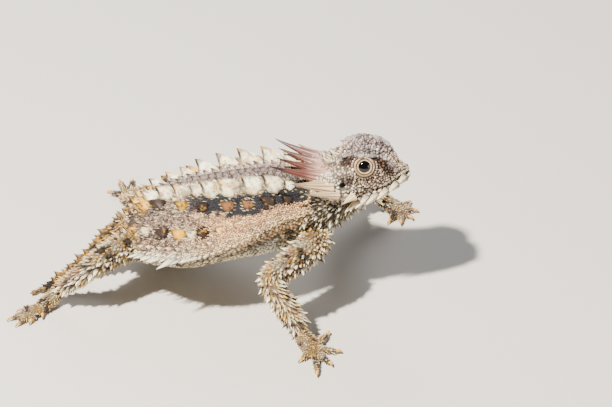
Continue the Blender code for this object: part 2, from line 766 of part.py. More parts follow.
def trunk_spines():
    turn = posed(Vector((0.0, 0.0, 0.0)), BODY_YAW, BODY_ROLL)
    back = turn @ Vector((-1.0, 0.0, 0.0))
    left = turn @ Vector((0.0, 1.0, 0.0))
    up = turn @ Vector((0.0, 0.0, 1.0))
    plans = []
    for number, (across, lean, first, last, spacing, length, width, height) in enumerate(ROWS):
        count = int((last - first) / spacing) + 1
        for side in (-1.0, 1.0):
            for i in range(count):
                seed = 37 * number + i + (500 if side > 0 else 0)
                x = first + (i + 0.12 * wobble(seed)) * spacing
                end = max(0.6, min(1.0, 0.5 + min(i, count - 1 - i) * 0.2))
                size = end * (1 + 0.12 * wobble(seed + 7))
                at = back_point(x, side * (across + lean * x))
                plans.append((at, SPINE_LEAN * back, back, length * size, width * size, height * size))
    first, last, spacing = FRINGE
    for side in (-1.0, 1.0):
        way = 0.85 * back + side * 0.62 * left - 0.22 * up
        for i in range(int((last - first) / spacing) + 1):
            x = first + i * spacing
            long = FRINGE_LENGTH + FRINGE_EXTRA * bump(x, -7.0, 10.0) * (1 if i % 3 else 1.6)
            long *= 1 + 0.12 * wobble(900 + i)
            at = back_point(x, side)
            plans.append((at, 6.0 * way, up, FRINGE_THICKNESS, 0.3 * long + 0.2, long))
    return plans


def row_on_sweep(stations, degrees, count, first, last, size):
    """Spines in a row along a swept form, leaning towards its far end."""
    place = swept_place(stations)
    plans = []
    for i in range(count):
        s = first + (last - first) * (i + 0.25 * wobble(i + degrees)) / (count - 1)
        s = min(max(s, 0.01), 0.99)
        t = math.acos(1 - 2 * s) / math.pi
        at = place(t, math.radians(degrees))
        ahead = place(min(t + 0.02, 0.999), math.radians(degrees)) - at
        thick = min(1.0, 0.4 + follow(stations, s)[4] / 4.0)
        long = size[0] * thick * (1 + 0.2 * wobble(3 * i + degrees))
        wide = size[1] * thick
        plans.append((at, 1.1 * ahead.normalized(), ahead.normalized(), wide * 1.2, wide, long))
    return plans


def head_spines():
    """Chin shields and the small spines over and behind the eye."""
    frame = head_frame()
    turn = frame.to_3x3()
    plans = []
    for side in (-1.0, 1.0):
        for i in range(CHIN_COUNT):
            s = i / (CHIN_COUNT - 1)
            u, v, w = Vector(CHIN_FRONT).lerp(Vector(CHIN_REAR), s)
            way = turn @ Vector((-0.9 + 0.3 * s, side * 0.3, -0.35 - 0.5 * s))
            long = CHIN_LENGTH[0] + (CHIN_LENGTH[1] - CHIN_LENGTH[0]) * s**1.5
            across = turn @ Vector((0.0, side, 0.0))
            at = frame @ Vector((u, side * v, w))
            plans.append((at, 6.0 * way, across, 0.3 + 0.05 * long, 0.3 * long + 0.4, long))
        for (u, v, w), (du, dv, dw), long, radius in HEAD_SPINES:
            way = turn @ Vector((du, side * dv, dw))
            at = frame @ Vector((u, side * v, w))
            plans.append((at, 3.0 * way, way, radius, radius, long))
    return plans


def all_spines(parts):
    grown(parts, "torso", trunk_spines())
    grown(parts, "head", head_spines())
    neck = []
    neck_to_trunk = [(1 - s, *rest) for s, *rest in reversed(NECK)]
    for degrees, count in NECK_ROWS:
        neck.extend(row_on_sweep(neck_to_trunk, degrees, count, 0.2, 0.6, NECK_SPINE))
    grown(parts, "neck", neck)
    tail = []
    for degrees in TAIL_ROWS:
        tail.extend(row_on_sweep(TAIL, degrees, TAIL_SPINES, 0.1, 0.93, TAIL_SPINE))
    grown(parts, "tail_root", tail)
    grown(parts, "tail_tip", tail)
    for name, leg in LEGS.items():
        stations = [(s, x, y, z, r, 0.92 * r) for s, x, y, z, r in leg_stations(leg)]
        plans = []
        for degrees in LEG_ROWS:
            plans.extend(row_on_sweep(stations, degrees, LEG_SPINES, 0.14, 0.9, LEG_SPINE))
        grown(parts, name + "_upper", plans)
        grown(parts, name + "_lower", plans)


def in_triangles(mesh):
    """Faces that a union left with many corners are split, so that every face is flat."""
    bm = bmesh.new()
    bm.from_mesh(mesh)
    bmesh.ops.triangulate(bm, faces=bm.faces)
    bm.to_mesh(mesh)
    bm.free()


def finish_parts(parts):
    """Gives each part its collection, its material and its place over the origin."""
    low = Vector((min(v.co[i] for body in parts.values() for v in body.data.vertices) for i in range(3)))
    high = Vector((max(v.co[i] for body in parts.values() for v in body.data.vertices) for i in range(3)))
    shift = Matrix.Translation((-(low.x + high.x) / 2, -(low.y + high.y) / 2, -low.z))
    lizard = bpy.data.collections.new("horned_lizard")
    bpy.context.scene.collection.children.link(lizard)
    finishes = {}
    for name, body in parts.items():
        kind = next((key for key in SKIN_COLOURS if name.startswith(key)), "leg")
        if kind not in finishes:
            roughness = EYE_ROUGHNESS if kind == "eye" else SKIN_ROUGHNESS
            finishes[kind] = material("lizard_" + kind, SKIN_COLOURS[kind], roughness)
        body.name = name
        body.data.transform(shift)
        in_triangles(body.data)
        body.data.materials.clear()
        body.data.materials.append(finishes[kind])
        bpy.context.scene.collection.objects.unlink(body)
        lizard.objects.link(body)
    print("shift", tuple(round(value, 5) for value in shift.translation))


def main():
    random.seed(7)
    for body in list(bpy.data.objects):
        bpy.data.objects.remove(body)
    parts = trunk_parts()
    for name, leg in LEGS.items():
        parts.update(leg_parts(name, leg))
    head_details(parts)
    all_spines(parts)
    finish_parts(parts)


main()
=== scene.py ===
# %% [markdown]
# # Regal horned lizard, still model
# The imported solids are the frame: this script grows the looks of the animal on them, as a skin
# in one piece, the scales and spines over it, the crown of horns, the eyes and the claws.
# Lengths are in millimetres in the animal's own frame, X forward, Y to its left and Z up, and
# are turned into metres only when a mesh is finished.

import math

import bmesh
import bpy
import numpy as np
from mathutils import Euler, Matrix, Vector
from mathutils.bvhtree import BVHTree
from mathutils.kdtree import KDTree


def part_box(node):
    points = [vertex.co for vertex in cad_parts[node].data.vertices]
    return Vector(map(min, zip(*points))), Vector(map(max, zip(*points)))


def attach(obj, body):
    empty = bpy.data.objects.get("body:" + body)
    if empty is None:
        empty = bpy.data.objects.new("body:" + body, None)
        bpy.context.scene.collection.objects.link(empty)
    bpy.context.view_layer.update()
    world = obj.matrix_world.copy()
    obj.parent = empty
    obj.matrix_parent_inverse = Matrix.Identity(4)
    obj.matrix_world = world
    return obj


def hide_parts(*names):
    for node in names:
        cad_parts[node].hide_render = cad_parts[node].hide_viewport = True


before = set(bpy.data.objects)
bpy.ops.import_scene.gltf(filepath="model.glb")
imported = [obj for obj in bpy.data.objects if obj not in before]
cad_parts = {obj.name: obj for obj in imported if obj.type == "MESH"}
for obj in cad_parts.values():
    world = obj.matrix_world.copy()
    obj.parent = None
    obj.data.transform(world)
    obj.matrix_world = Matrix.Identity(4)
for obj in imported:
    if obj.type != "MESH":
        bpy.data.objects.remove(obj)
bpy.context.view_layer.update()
rng = np.random.default_rng(11)


def wobble(number):
    """A steady scatter from -1 to 1 that tells one spine from the next, as in the solids."""
    return 2.0 * ((np.sin(12.9898 * np.asarray(number, float)) * 43758.5453) % 1.0) - 1.0

# %% [markdown]
# The animal's form is told by a few stations along the trunk, neck, tail and head, and by the
# centre line of each leg. They are the same as in the solids, so the skin keeps their outline.

# %% Measurements of the animal
BODY_YAW, BODY_ROLL = 7.0, 8.0
HEAD_YAW, HEAD_ROLL = 4.0, 10.0
TRUNK = np.array([
    # x, y and z of the back, half width, height of the back over the fringe, depth of the belly
    (-27.0, 5.0, 13.5, 2.0, 1.5, 1.5),
    (-25.0, 4.8, 16.6, 6.5, 4.5, 4.5),
    (-19.0, 4.0, 23.4, 15.5, 8.5, 7.5),
    (-10.0, 2.8, 30.4, 23.5, 12.5, 9.0),
    (0.0, 1.5, 34.6, 26.5, 14.8, 9.8),
    (10.0, 0.2, 38.2, 25.2, 14.6, 11.0),
    (20.0, -1.1, 41.3, 21.0, 13.6, 13.6),
    (28.0, -2.1, 42.6, 15.5, 11.6, 15.6),
    (34.0, -3.0, 41.0, 11.5, 9.2, 14.8),
    (38.0, -3.6, 39.0, 4.0, 5.0, 5.0),
])
NECK = np.array([
    # place along the line, x, y, z, half width and half height
    (0.0, 24.0, -1.6, 30.0, 12.0, 11.0),
    (0.4, 33.0, -3.0, 30.6, 12.6, 11.0),
    (0.7, 39.0, -3.8, 33.8, 11.2, 9.8),
    (1.0, 47.0, -4.4, 39.0, 9.0, 8.0),
])
TAIL = np.array([
    (0.0, -19.0, 4.2, 15.5, 7.0, 6.0),
    (0.25, -26.0, 3.6, 11.4, 5.2, 4.1),
    (0.45, -32.0, 0.8, 7.1, 3.7, 2.7),
    (0.7, -40.0, -4.0, 3.4, 2.2, 1.6),
    (0.88, -46.6, -8.0, 1.3, 1.2, 1.1),
    (1.0, -50.6, -10.4, 0.8, 0.5, 0.6),
])
HEAD_AT = (49.8, -4.5, 46.2)
HEAD = np.array([
    # forward, top, half width, height of the widest place, bottom
    (-17.0, -5.0, 1.5, -5.4, -7.0),
    (-15.8, -3.4, 8.6, -5.4, -9.6),
    (-12.0, -2.0, 11.8, -5.6, -12.6),
    (-8.6, -0.2, 11.8, -5.4, -13.4),
    (-5.6, 2.2, 11.0, -5.2, -13.3),
    (-1.6, 3.7, 9.8, -5.2, -12.8),
    (3.0, 3.0, 8.7, -5.2, -11.4),
    (6.6, 0.9, 7.2, -5.2, -9.8),
    (9.4, -2.0, 5.4, -5.2, -8.2),
    (12.0, -3.5, 3.2, -5.2, -7.0),
    (13.1, -4.9, 0.6, -5.2, -5.8),
])
BROW = np.array([
    # forward, left, up and radius of the ridge over the eye, from the temple down to the snout
    (-7.4, 5.9, 1.0, 0.8),
    (-4.8, 7.2, 1.9, 1.15),
    (-1.8, 8.1, 2.2, 1.4),
    (1.2, 7.9, 2.1, 1.4),
    (3.6, 6.9, 1.7, 1.25),
    (5.8, 6.1, 0.5, 1.05),
    (7.3, 5.4, -0.9, 0.9),
    (9.0, 4.6, -2.9, 0.6),
])
BROW_SHADE = np.array([
    # the dark brown streak under the brow, behind the eye and down before it, partly its own
    # colour
    #     # and partly painted shadow of the brow
    (-6.8, 7.4, 0.9), (-5.0, 8.8, 0.9), (-3.4, 9.0, 1.3), (2.6, 8.2, 1.2), (4.2, 7.5, 0.5),
    (5.9, 7.0, -1.0), (7.4, 6.5, -2.6),
])
EYE_AT, EYE_RADIUS = (0.0, 7.0, 0.0), 2.8
MOUTH = np.array([
    # share of the way, then forward, left and up on the right side of the line of the mouth
    (0.0, 13.4, 0.0, -4.2),
    (0.18, 11.9, 3.2, -4.1),
    (0.3, 10.3, 4.7, -4.6),
    (0.4, 9.0, 5.6, -5.2),
    (0.5, 7.2, 6.6, -6.1),
    (0.6, 5.4, 7.2, -6.9),
    (0.72, 2.6, 8.2, -7.8),
    (0.84, -0.2, 8.6, -8.9),
    (0.93, -1.6, 8.7, -10.2),
    (1.0, -2.6, 8.9, -11.4),
])
NOSTRIL_AT = (12.3, 1.9, -4.0)
EAR_AT = (-6.2, 11.0, -5.4)
HORNS = [
    # name, root, degrees outward and upward, length and root radius
    ("occipital_inner", (-14.0, 2.3, -3.9), 7.0, 16.0, 13.2, 2.0),
    ("occipital_outer", (-13.2, 6.7, -4.3), 16.0, 15.0, 16.2, 2.3),
    ("temporal_upper", (-11.4, 9.9, -6.0), 30.0, 12.0, 12.0, 2.3),
    ("temporal_middle", (-9.4, 10.7, -7.9), 36.0, 8.0, 9.2, 1.6),
    ("temporal_lower", (-4.4, 10.4, -9.7), 40.0, -25.0, 3.0, 1.2),
]
LEGS = {
    "foreleg_right": {
        "line": [(35.4, -12.4, 24.2, 4.2), (33.0, -18.5, 22.8, 4.6), (27.5, -24.0, 21.0, 4.1),
                 (21.8, -29.4, 18.4, 3.7), (26.0, -32.3, 10.6, 3.5), (30.6, -35.4, 4.8, 2.7)],
        "palm": ((30.2, -35.0, 3.4), (34.0, -40.6, 1.4), 4.2, 2.2),
        "toes": [(39.0, -30.0), (42.8, -40.6), (39.8, -47.8), (35.2, -52.8), (29.4, -45.6)],
    },
    "foreleg_left": {
        "line": [(35.2, 8.4, 21.2, 4.2), (36.6, 14.5, 19.4, 4.6), (38.5, 23.0, 16.2, 4.1),
                 (41.5, 31.5, 13.2, 3.7), (49.0, 35.0, 9.0, 3.4), (56.2, 37.2, 4.8, 2.7)],
        "palm": ((56.0, 37.2, 3.4), (61.0, 34.8, 1.4), 4.2, 2.2),
        "toes": [(57.2, 27.8), (61.6, 27.0), (65.6, 29.8), (67.6, 34.8), (65.2, 41.0)],
    },
    "hindleg_right": {
        "line": [(-19.0, -6.6, 17.0, 4.2), (-22.6, -10.8, 17.5, 4.6), (-27.0, -15.0, 17.4, 4.1),
                 (-30.8, -18.2, 16.6, 3.5), (-36.6, -17.2, 10.8, 3.0), (-42.8, -14.6, 5.0, 2.4)],
        "palm": ((-43.0, -14.6, 3.4), (-47.4, -18.6, 1.35), 3.7, 2.1),
        "toes": [(-46.6, -23.8), (-50.6, -26.6), (-54.6, -27.6), (-57.4, -24.6), (-55.0, -19.6)],
    },
    "hindleg_left": {
        "line": [(-17.6, 14.0, 13.0, 4.2), (-16.6, 19.4, 12.8, 4.6), (-12.6, 25.4, 12.6, 4.1),
                 (-7.4, 31.6, 12.2, 3.5), (-14.6, 34.4, 8.6, 3.0), (-23.4, 36.4, 5.0, 2.4)],
        "palm": ((-23.4, 36.4, 3.4), (-24.4, 41.6, 1.35), 3.7, 2.1),
        "toes": [(-17.4, 45.8), (-19.4, 50.4), (-23.4, 53.8), (-28.2, 53.4), (-31.6, 46.4)],
    },
}
CLAW_LENGTH = 2.2

# %% [markdown]
# Small tools of shape: smooth curves through the stations, frames that are turned and rolled,
# and a sphere whose points are sent to a place told by how far along and how far round it is.

# %% Tools of shape
def follow(stations, t):
    """Values at t (a number or an array) on smooth curves through the stations."""
    t = np.asarray(t, float)
    keys = stations[:, 0]
    last = len(stations) - 1
    i = np.clip(np.searchsorted(keys, t, side="right") - 1, 0, last - 1)
    near, far = stations[i], stations[i + 1]
    before, after = stations[np.maximum(i - 1, 0)], stations[np.minimum(i + 2, last)]
    span = far[..., 0] - near[..., 0]
    x = np.clip((t - near[..., 0]) / span, 0, 1)[..., None]
    span = span[..., None]
    rise_near = span * (far - before) / (far[..., :1] - before[..., :1])
    rise_far = span * (after - near) / (after[..., :1] - near[..., :1])
    value = (
        (2 * x**3 - 3 * x**2 + 1) * near
        + (x**3 - 2 * x**2 + x) * rise_near
        + (3 * x**2 - 2 * x**3) * far
        + (x**3 - x**2) * rise_far
    )
    return value[..., 1:]


def turned(yaw, roll):
    return np.array(Euler((math.radians(-roll), 0.0, math.radians(-yaw)), "XYZ").to_matrix())


BODY_TURN = turned(BODY_YAW, BODY_ROLL)
HEAD_TURN = turned(HEAD_YAW, HEAD_ROLL)
BACK_WAY, BODY_LEFT, BODY_UP = -BODY_TURN[:, 0], BODY_TURN[:, 1], BODY_TURN[:, 2]


def unit(vectors):
    vectors = np.asarray(vectors, float)
    return vectors / np.maximum(np.linalg.norm(vectors, axis=-1, keepdims=True), 1e-9)


def signed_power(value, power):
    return np.sign(value) * np.abs(value) ** power


def bump(value, centre, reach):
    return np.exp(-(((value - centre) / reach) ** 2))


def head_point(places):
    return np.asarray(places, float) @ HEAD_TURN.T + HEAD_AT


def in_head(points):
    return (np.asarray(points, float) - HEAD_AT) @ HEAD_TURN


def head_way(way, side):
    """A direction of the head's frame, written for its left, on the side -1 (right) or 1."""
    return mirrored(way, side) @ HEAD_TURN.T


def mirrored(places, side):
    """Places of the head's frame, written for its left, on the side -1 (right) or 1."""
    return np.asarray(places, float) * (1, side, 1)


def around_line(left, up, wide, high, angle):
    """How far points at the angles stand off a line that has this left and up."""
    return (wide * np.cos(angle))[:, None] * left + (high * np.sin(angle))[:, None] * up


def trunk_place(t, angle):
    x = TRUNK[0][0] + (TRUNK[-1][0] - TRUNK[0][0]) * (1 - np.cos(np.pi * t)) / 2
    y, z, half, roof, belly = follow(TRUNK, x).T
    across = signed_power(np.cos(angle), 0.8)
    up = np.where(
        np.sin(angle) >= 0,
        -roof * np.abs(across) ** 1.7,
        -roof - belly * (1 - np.abs(across) ** 2.8),
    )
    pole = (t < 1e-6) | (t > 1 - 1e-6)
    local = np.stack([0 * x, np.where(pole, 0, half * across), np.where(pole, -roof, up)], 1)
    return local @ BODY_TURN.T + np.stack([x, y, z], 1)


def swept_place(stations):
    stations = np.asarray(stations, float)

    def place(t, angle):
        s = (1 - np.cos(np.pi * t)) / 2
        x, y, z, wide, high = follow(stations, s).T
        ahead = follow(stations, np.minimum(s + 0.02, 1.0))[:, :3]
        behind = follow(stations, np.maximum(s - 0.02, 0.0))[:, :3]
        forward = unit(ahead - behind)
        left = unit(np.cross((0, 0, 1), forward))
        up = np.cross(forward, left)
        ring = np.minimum(1.0, 2.2 * np.sin(np.pi * t))[:, None]
        return np.stack([x, y, z], 1) + ring * around_line(left, up, wide, high, angle)

    return place


def head_place(t, angle):
    u = HEAD[0][0] + (HEAD[-1][0] - HEAD[0][0]) * (1 - np.cos(np.pi * t)) / 2
    top, half, mid, bottom = follow(HEAD, u).T
    across, rise = np.cos(angle), np.sin(angle)
    upper = rise >= 0
    v = half * np.where(upper, signed_power(across, 0.55), signed_power(across, 0.8))
    crown = mid + (top - mid) * np.abs(rise) ** 0.8
    jaw = mid + (mid - bottom) * signed_power(rise, 0.9)
    w = np.where(upper, crown, jaw)
    degrees = np.degrees(np.arctan2(rise, np.abs(across)))
    brow = 1.25 * bump(u, 0.5, 6.0) * bump(degrees, 56.0, 14.0)
    orbit = 1.5 * bump(u, 0.0, 4.4) * bump(degrees, 28.0, 16.0)
    v = v + np.copysign(brow - orbit, across)
    w = w + 0.5 * brow
    pole = (t < 1e-6) | (t > 1 - 1e-6)
    return head_point(np.stack([u, np.where(pole, 0, v), np.where(pole, mid, w)], 1))


def add_form(bm, around, along, place):
    """Adds to bm a sphere whose points are sent to place(t, angle), t running pole to pole."""
    made = bmesh.ops.create_uvsphere(bm, u_segments=around, v_segments=along, radius=1.0)["verts"]
    at = np.array([vertex.co for vertex in made])
    t = np.arccos(np.clip(-at[:, 2], -1, 1)) / np.pi
    angle = np.arctan2(at[:, 1], at[:, 0])
    for vertex, co in zip(made, place(t, angle)):
        vertex.co = co


def mesh_of(name, bm):
    mesh = bpy.data.meshes.new(name)
    bm.to_mesh(mesh)
    bm.free()
    return mesh


def linked(name, data):
    """A new object in the scene that holds the data."""
    body = bpy.data.objects.new(name, data)
    bpy.context.scene.collection.objects.link(body)
    return body


# %% [markdown]
# A leg is a sweep along its bones. A foot is a palm with five toes, each of them raised at its
# knuckle and ending in a claw whose tip is where the table says.

# %% Legs and feet
def leg_stations(leg):
    last = len(leg["line"]) - 1
    return [(i / last, x, y, z, r, 0.92 * r) for i, (x, y, z, r) in enumerate(leg["line"])]


def foot_forms(leg):
    """Stations of the palm or sole and of each toe, and root and tip of each claw."""
    heel, ball, wide, high = leg["palm"]
    heel, ball = np.array(heel), np.array(ball)
    ahead = unit(ball - heel)
    palm = [
        (0.0, *(heel - 1.5 * ahead), 2.2, 2.1),
        (0.5, *((heel + ball) / 2), wide * 0.75, high * 0.95),
        (1.0, *(ball + 0.4 * ahead), wide * 0.85, high * 0.7),
    ]
    toes, claws = [], []
    for x, y in leg["toes"]:
        tip = np.array((x, y, 0.7))
        out = unit(tip - ball)
        flat = unit(np.array((out[0], out[1], 0.0)))
        claw_root = tip - CLAW_LENGTH * 0.8 * flat
        claw_root[2] = 0.85
        root = ball + 0.8 * out + (0, 0, 0.1)
        knuckle = (root + claw_root) / 2
        knuckle[2] = 1.5
        toe = [(0.0, *root, 1.25, 1.3), (0.5, *knuckle, 1.1, 1.15), (1.0, *claw_root, 0.95, 1.0)]
        toes.append(toe)
        claws.append((claw_root, tip, flat))
    return palm, toes, claws


print("claws", sum(len(foot_forms(leg)[2]) for leg in LEGS.values()))

# %% [markdown]
# The skin is one surface. The forms of trunk, neck, tail, head, legs and toes are laid over
# each other, melted into one by a voxel remesh and smoothed, as flesh runs from one into the
# next without a seam, and then drawn in by the thickness of the scales.

# %% Skin
TRUNK_PART, NECK_PART, TAIL_PART, HEAD_PART, LEG_PART, FOOT_PART = range(6)
SKIN_VOXEL = 0.42
SKIN_DEPTH = 0.3
SKIN_FLOOR = 0.06  # lowest height of the skin, so that soles rest on the ground


def brow_stations(side):
    """The ridge of one brow as stations of a sweep."""
    at = head_point(mirrored(BROW[:, :3], side))
    share = np.linspace(0, 1, len(at))
    return [(t, *point, r, r) for t, point, r in zip(share, at, BROW[:, 3])]


def forms():
    """Each plain form: place, part, then points round and along it for the skin and the guide."""
    yield trunk_place, TRUNK_PART, (120, 100), (90, 70)
    yield swept_place(NECK), NECK_PART, (60, 40), (50, 30)
    yield swept_place(TAIL), TAIL_PART, (40, 60), (30, 40)
    yield head_place, HEAD_PART, (110, 90), (70, 60)
    for side in (-1, 1):
        yield swept_place(brow_stations(side)), HEAD_PART, (24, 40), None
    for leg in LEGS.values():
        yield swept_place(leg_stations(leg)), LEG_PART, (30, 50), (24, 44)
        palm, toes, _ = foot_forms(leg)
        yield swept_place(palm), FOOT_PART, (28, 20), (20, 16)
        for toe in toes:
            yield swept_place(toe), FOOT_PART, (16, 16), (10, 14)


def apply_modifiers(body):
    bpy.context.view_layer.update()
    changed = body.evaluated_get(bpy.context.evaluated_depsgraph_get())
    mesh = bpy.data.meshes.new_from_object(changed)
    body.modifiers.clear()
    old = body.data
    body.data = mesh
    bpy.data.meshes.remove(old)


def values_of(items, name, width, kind=float):
    """One row of numbers for each item of a mesh."""
    found = np.empty(len(items) * width, kind)
    items.foreach_get(name, found)
    return found.reshape(-1, width)


def coords(mesh):
    return values_of(mesh.vertices, "co", 3)


def normals(mesh):
    return values_of(mesh.vertex_normals, "vector", 3)


def set_coords(mesh, points):
    mesh.vertices.foreach_set("co", np.asarray(points, float).ravel())
    mesh.update()


bm = bmesh.new()
for place, _, grid, _ in forms():
    add_form(bm, *grid, place)
skin = linked("skin", mesh_of("skin", bm))
melt = skin.modifiers.new("melt", "REMESH")
melt.mode = "VOXEL"
melt.voxel_size = SKIN_VOXEL
ease = skin.modifiers.new("ease", "SMOOTH")
ease.factor = 0.5
ease.iterations = 5
apply_modifiers(skin)
points = coords(skin.data) - SKIN_DEPTH * normals(skin.data)
points[:, 2] = np.maximum(points[:, 2], SKIN_FLOOR)
set_coords(skin.data, points)

# %% [markdown]
# The mouth is a groove that runs back along each side of the snout and drops at its corner. The
# ear is an open pit in the cheek and the nostrils lie where the snout is steepest.

# %% Dents of mouth, ears and nostrils
HEAD_BEGINS = -17.0
SOCKET_AT = (0.3, 9.0, 0.3)


def tree_of(places):
    tree = KDTree(len(places))
    for index, place in enumerate(places):
        tree.insert(place, index)
    tree.balance()
    return tree


def dent(points, push, centres, depth, reach, power):
    """Draws points near any of the centres inward, and tells how far each lies from them."""
    tree = tree_of(centres)
    away = np.array([tree.find(point)[2] for point in points])
    return points - (depth * np.exp(-((away / reach) ** power)))[:, None] * push, away


faces = [list(face.vertices) for face in skin.data.polygons]
skin_form = BVHTree.FromPolygons(points.tolist(), faces)


def laid_on_form(places):
    """The skin nearest to places of the head's frame, on both sides."""
    both = [head_point(mirrored(place, side)) for place in places for side in (-1, 1)]
    return np.array([skin_form.find_nearest(point)[0] for point in both])


of_head = np.nonzero(in_head(points)[:, 0] > HEAD_BEGINS)[0]
push = normals(skin.data)[of_head]
mouth_line = laid_on_form(follow(MOUTH, np.linspace(0, 1, 90)))
shaped, mouth_away = dent(points[of_head], push, mouth_line, 0.6, 0.42, 2)
shaped, ear_away = dent(shaped, push, laid_on_form([EAR_AT]), 1.2, 1.15, 4)
shaped, nostril_away = dent(shaped, push, laid_on_form([NOSTRIL_AT]), 0.7, 0.5, 2)
shaped, _ = dent(shaped, push, laid_on_form([SOCKET_AT]), 0.8, 2.6, 4)
points[of_head] = shaped
set_coords(skin.data, points)
print("skin", len(skin.data.vertices), "points")

# %% [markdown]
# Every point of the skin has to know where on the animal it is. The nearest point of the plain
# forms tells the part and how far along it is, and the frames of trunk and head give a place
# across the back or on the face.

# %% Where a point lies on the animal
PART, ALONG, ROUND, WAY = 0, 1, 2, slice(3, 6)  # columns of a guide


def guide_rows(place, part, around, along):
    """Points spread on a plain form with their part, place along, place round and way on."""
    t, angle = np.meshgrid(np.linspace(0.02, 0.98, along), np.linspace(-np.pi, np.pi, around))
    t, angle = t.ravel(), angle.ravel()
    ahead = place(np.minimum(t + 0.01, 1.0), angle) - place(np.maximum(t - 0.01, 0.0), angle)
    s = (1 - np.cos(np.pi * t)) / 2
    return np.column_stack([place(t, angle), np.full(len(t), part), s, angle, unit(ahead)])


GUIDE = np.concatenate(
    [guide_rows(place, part, *grid) for place, part, _, grid in forms() if grid is not None]
)
guide_tree = tree_of(GUIDE[:, :3])


def guide_of(points):
    """Part, place along, place round and way on for each point."""
    found = [guide_tree.find(point)[1] for point in points]
    return GUIDE[found][:, 3:]


def in_body(points):
    """Station x, place across, height over the back line, half width and roof for each point."""
    points = np.asarray(points, float)
    x = points[:, 0].copy()
    for _ in range(12):
        y, z, half, roof = follow(TRUNK, x).T[:4]
        local = (points - np.stack([x, y, z], 1)) @ BODY_TURN
        x = x + 0.8 * local[:, 0]
    return x, local[:, 1], local[:, 2], half, roof


def back_point(x, across):
    """A place on the plain back: station x and across from -1, the right fringe, to 1."""
    x, across = np.atleast_1d(x).astype(float), np.atleast_1d(across).astype(float)
    y, z, half, roof = follow(TRUNK, x).T[:4]
    side = half * across + midline(x) * (1 - np.abs(across))
    local = np.stack([0 * x, side, -roof * np.abs(side / half) ** 1.7], 1)
    return local @ BODY_TURN.T + np.stack([x, y, z], 1)


def midline(x):
    """The stripe down the back leans a little to the left behind and to the right in front."""
    return np.clip(0.9 - 0.165 * x, -4.0, 4.0)


# %% [markdown]
# The markings are one function of the place on the animal, so that skin and scales agree: a grey
# stripe down the back, cream fields at its sides, a blue black band from the neck that fades
# behind the middle, a pinkish grey flank that turns peach in front, a white fringe, straw legs
# with dark spots and a grey head with a pale cheek. Each cloth is a ground with tints over it.

# %% Tints and patches
def linear(code):
    """A colour written as on a screen, turned into the linear values that a shader reads."""
    values = np.array([int(code[i:i + 2], 16) for i in (1, 3, 5)]) / 255
    return np.where(values <= 0.04045, values / 12.92, ((values + 0.055) / 1.055) ** 2.4)


TINT = {name: linear(code) for name, code in {
    "stripe": "#8b7c78", "cream": "#f4e4bc", "straw": "#d2a24a", "gold": "#d9a01c",
    "band": "#22222c", "umber": "#2a1b12", "rear": "#917868", "flank": "#b89a82",
    "peach": "#f6c08a", "rust": "#8e6038", "white": "#fff8e8", "belly": "#c4b18c",
    "olive": "#645634", "leg": "#eccb92", "leg_pale": "#f8eccc", "spot": "#241811",
    "dome": "#8e8180", "face": "#ad9782", "cheek": "#f0e2cc", "brown": "#442b1c",
    "pink": "#a88679", "throat": "#776648", "neck": "#3d342b", "ear": "#1c120d",
    "horn": "#6e3e34", "horn_tip": "#1c1113", "horn_pale": "#c09484", "claw": "#d79f22",
    "claw_tip": "#20150f", "lid": "#c0a078", "lip": "#cdb896", "lid_fold": "#3c291c",
    "horn_tan": "#dcc298", "fin": "#fff1cc", "lid_edge": "#c0a27a", "rose": "#b08a78",
}.items()}


def noise(points, size, seed=0):
    """Smooth random values from 0 to 1 with patches of about the given size."""
    p = np.asarray(points, float) / size + 50.37 + 17.1 * seed
    base = np.floor(p).astype(int)
    f = p - base
    f = f * f * (3 - 2 * f)
    total = np.zeros(len(p))
    for corner in range(8):
        offset = np.array([corner & 1, corner >> 1 & 1, corner >> 2 & 1])
        cell = base + offset
        a, b, c = cell.T
        mixed = a * 73856093 ^ b * 19349663 ^ c * 83492791 ^ seed * 2654435
        value = (mixed * 1103515245 + 12345 >> 8) % 65536 / 65535
        total += value * np.prod(np.where(offset, f, 1 - f), axis=1)
    return total


def step(value, low, high):
    x = np.clip((value - low) / (high - low), 0, 1)
    return x * x * (3 - 2 * x)


def mix(under, over, share):
    return under + (over - under) * np.asarray(share)[:, None]


def flat(name, count):
    return np.tile(TINT[name], (count, 1))


def painted(cloth, *layers):
    """Lays tints over a cloth one after the other, each by its share at every point."""
    for tint, share in layers:
        cloth = mix(cloth, TINT[tint], share)
    return cloth


def samples_of(stations, count):
    """Points spread along a broken line."""
    t, keys = np.linspace(0, len(stations) - 1, count), np.arange(len(stations))
    return np.stack([np.interp(t, keys, column) for column in np.asarray(stations).T], 1)


def along_table(table, x):
    return np.interp(x, *np.array(table).T)


print("tints", len(TINT))

# %% [markdown]
# The trunk: from the fringe inward come the flank with its rusty flecks, the dark band, the cream
# field and the grey stripe. The belly shows only in front, blotched with white.

# %% Markings of the trunk
# x of the body, and how far the edge of the flank lies below the plain form
FLANK_EDGE = ((-5.0, 0.0), (10.0, 1.9), (18.0, 2.9), (26.0, 5.0), (31.0, 4.0))
# x of the body, and where the middle of the dark band lies between the midline and the fringe
BAND_AT = ((-12.0, 0.4), (1.0, 0.41), (5.0, 0.45), (11.0, 0.55), (17.0, 0.61), (27.0, 0.66))


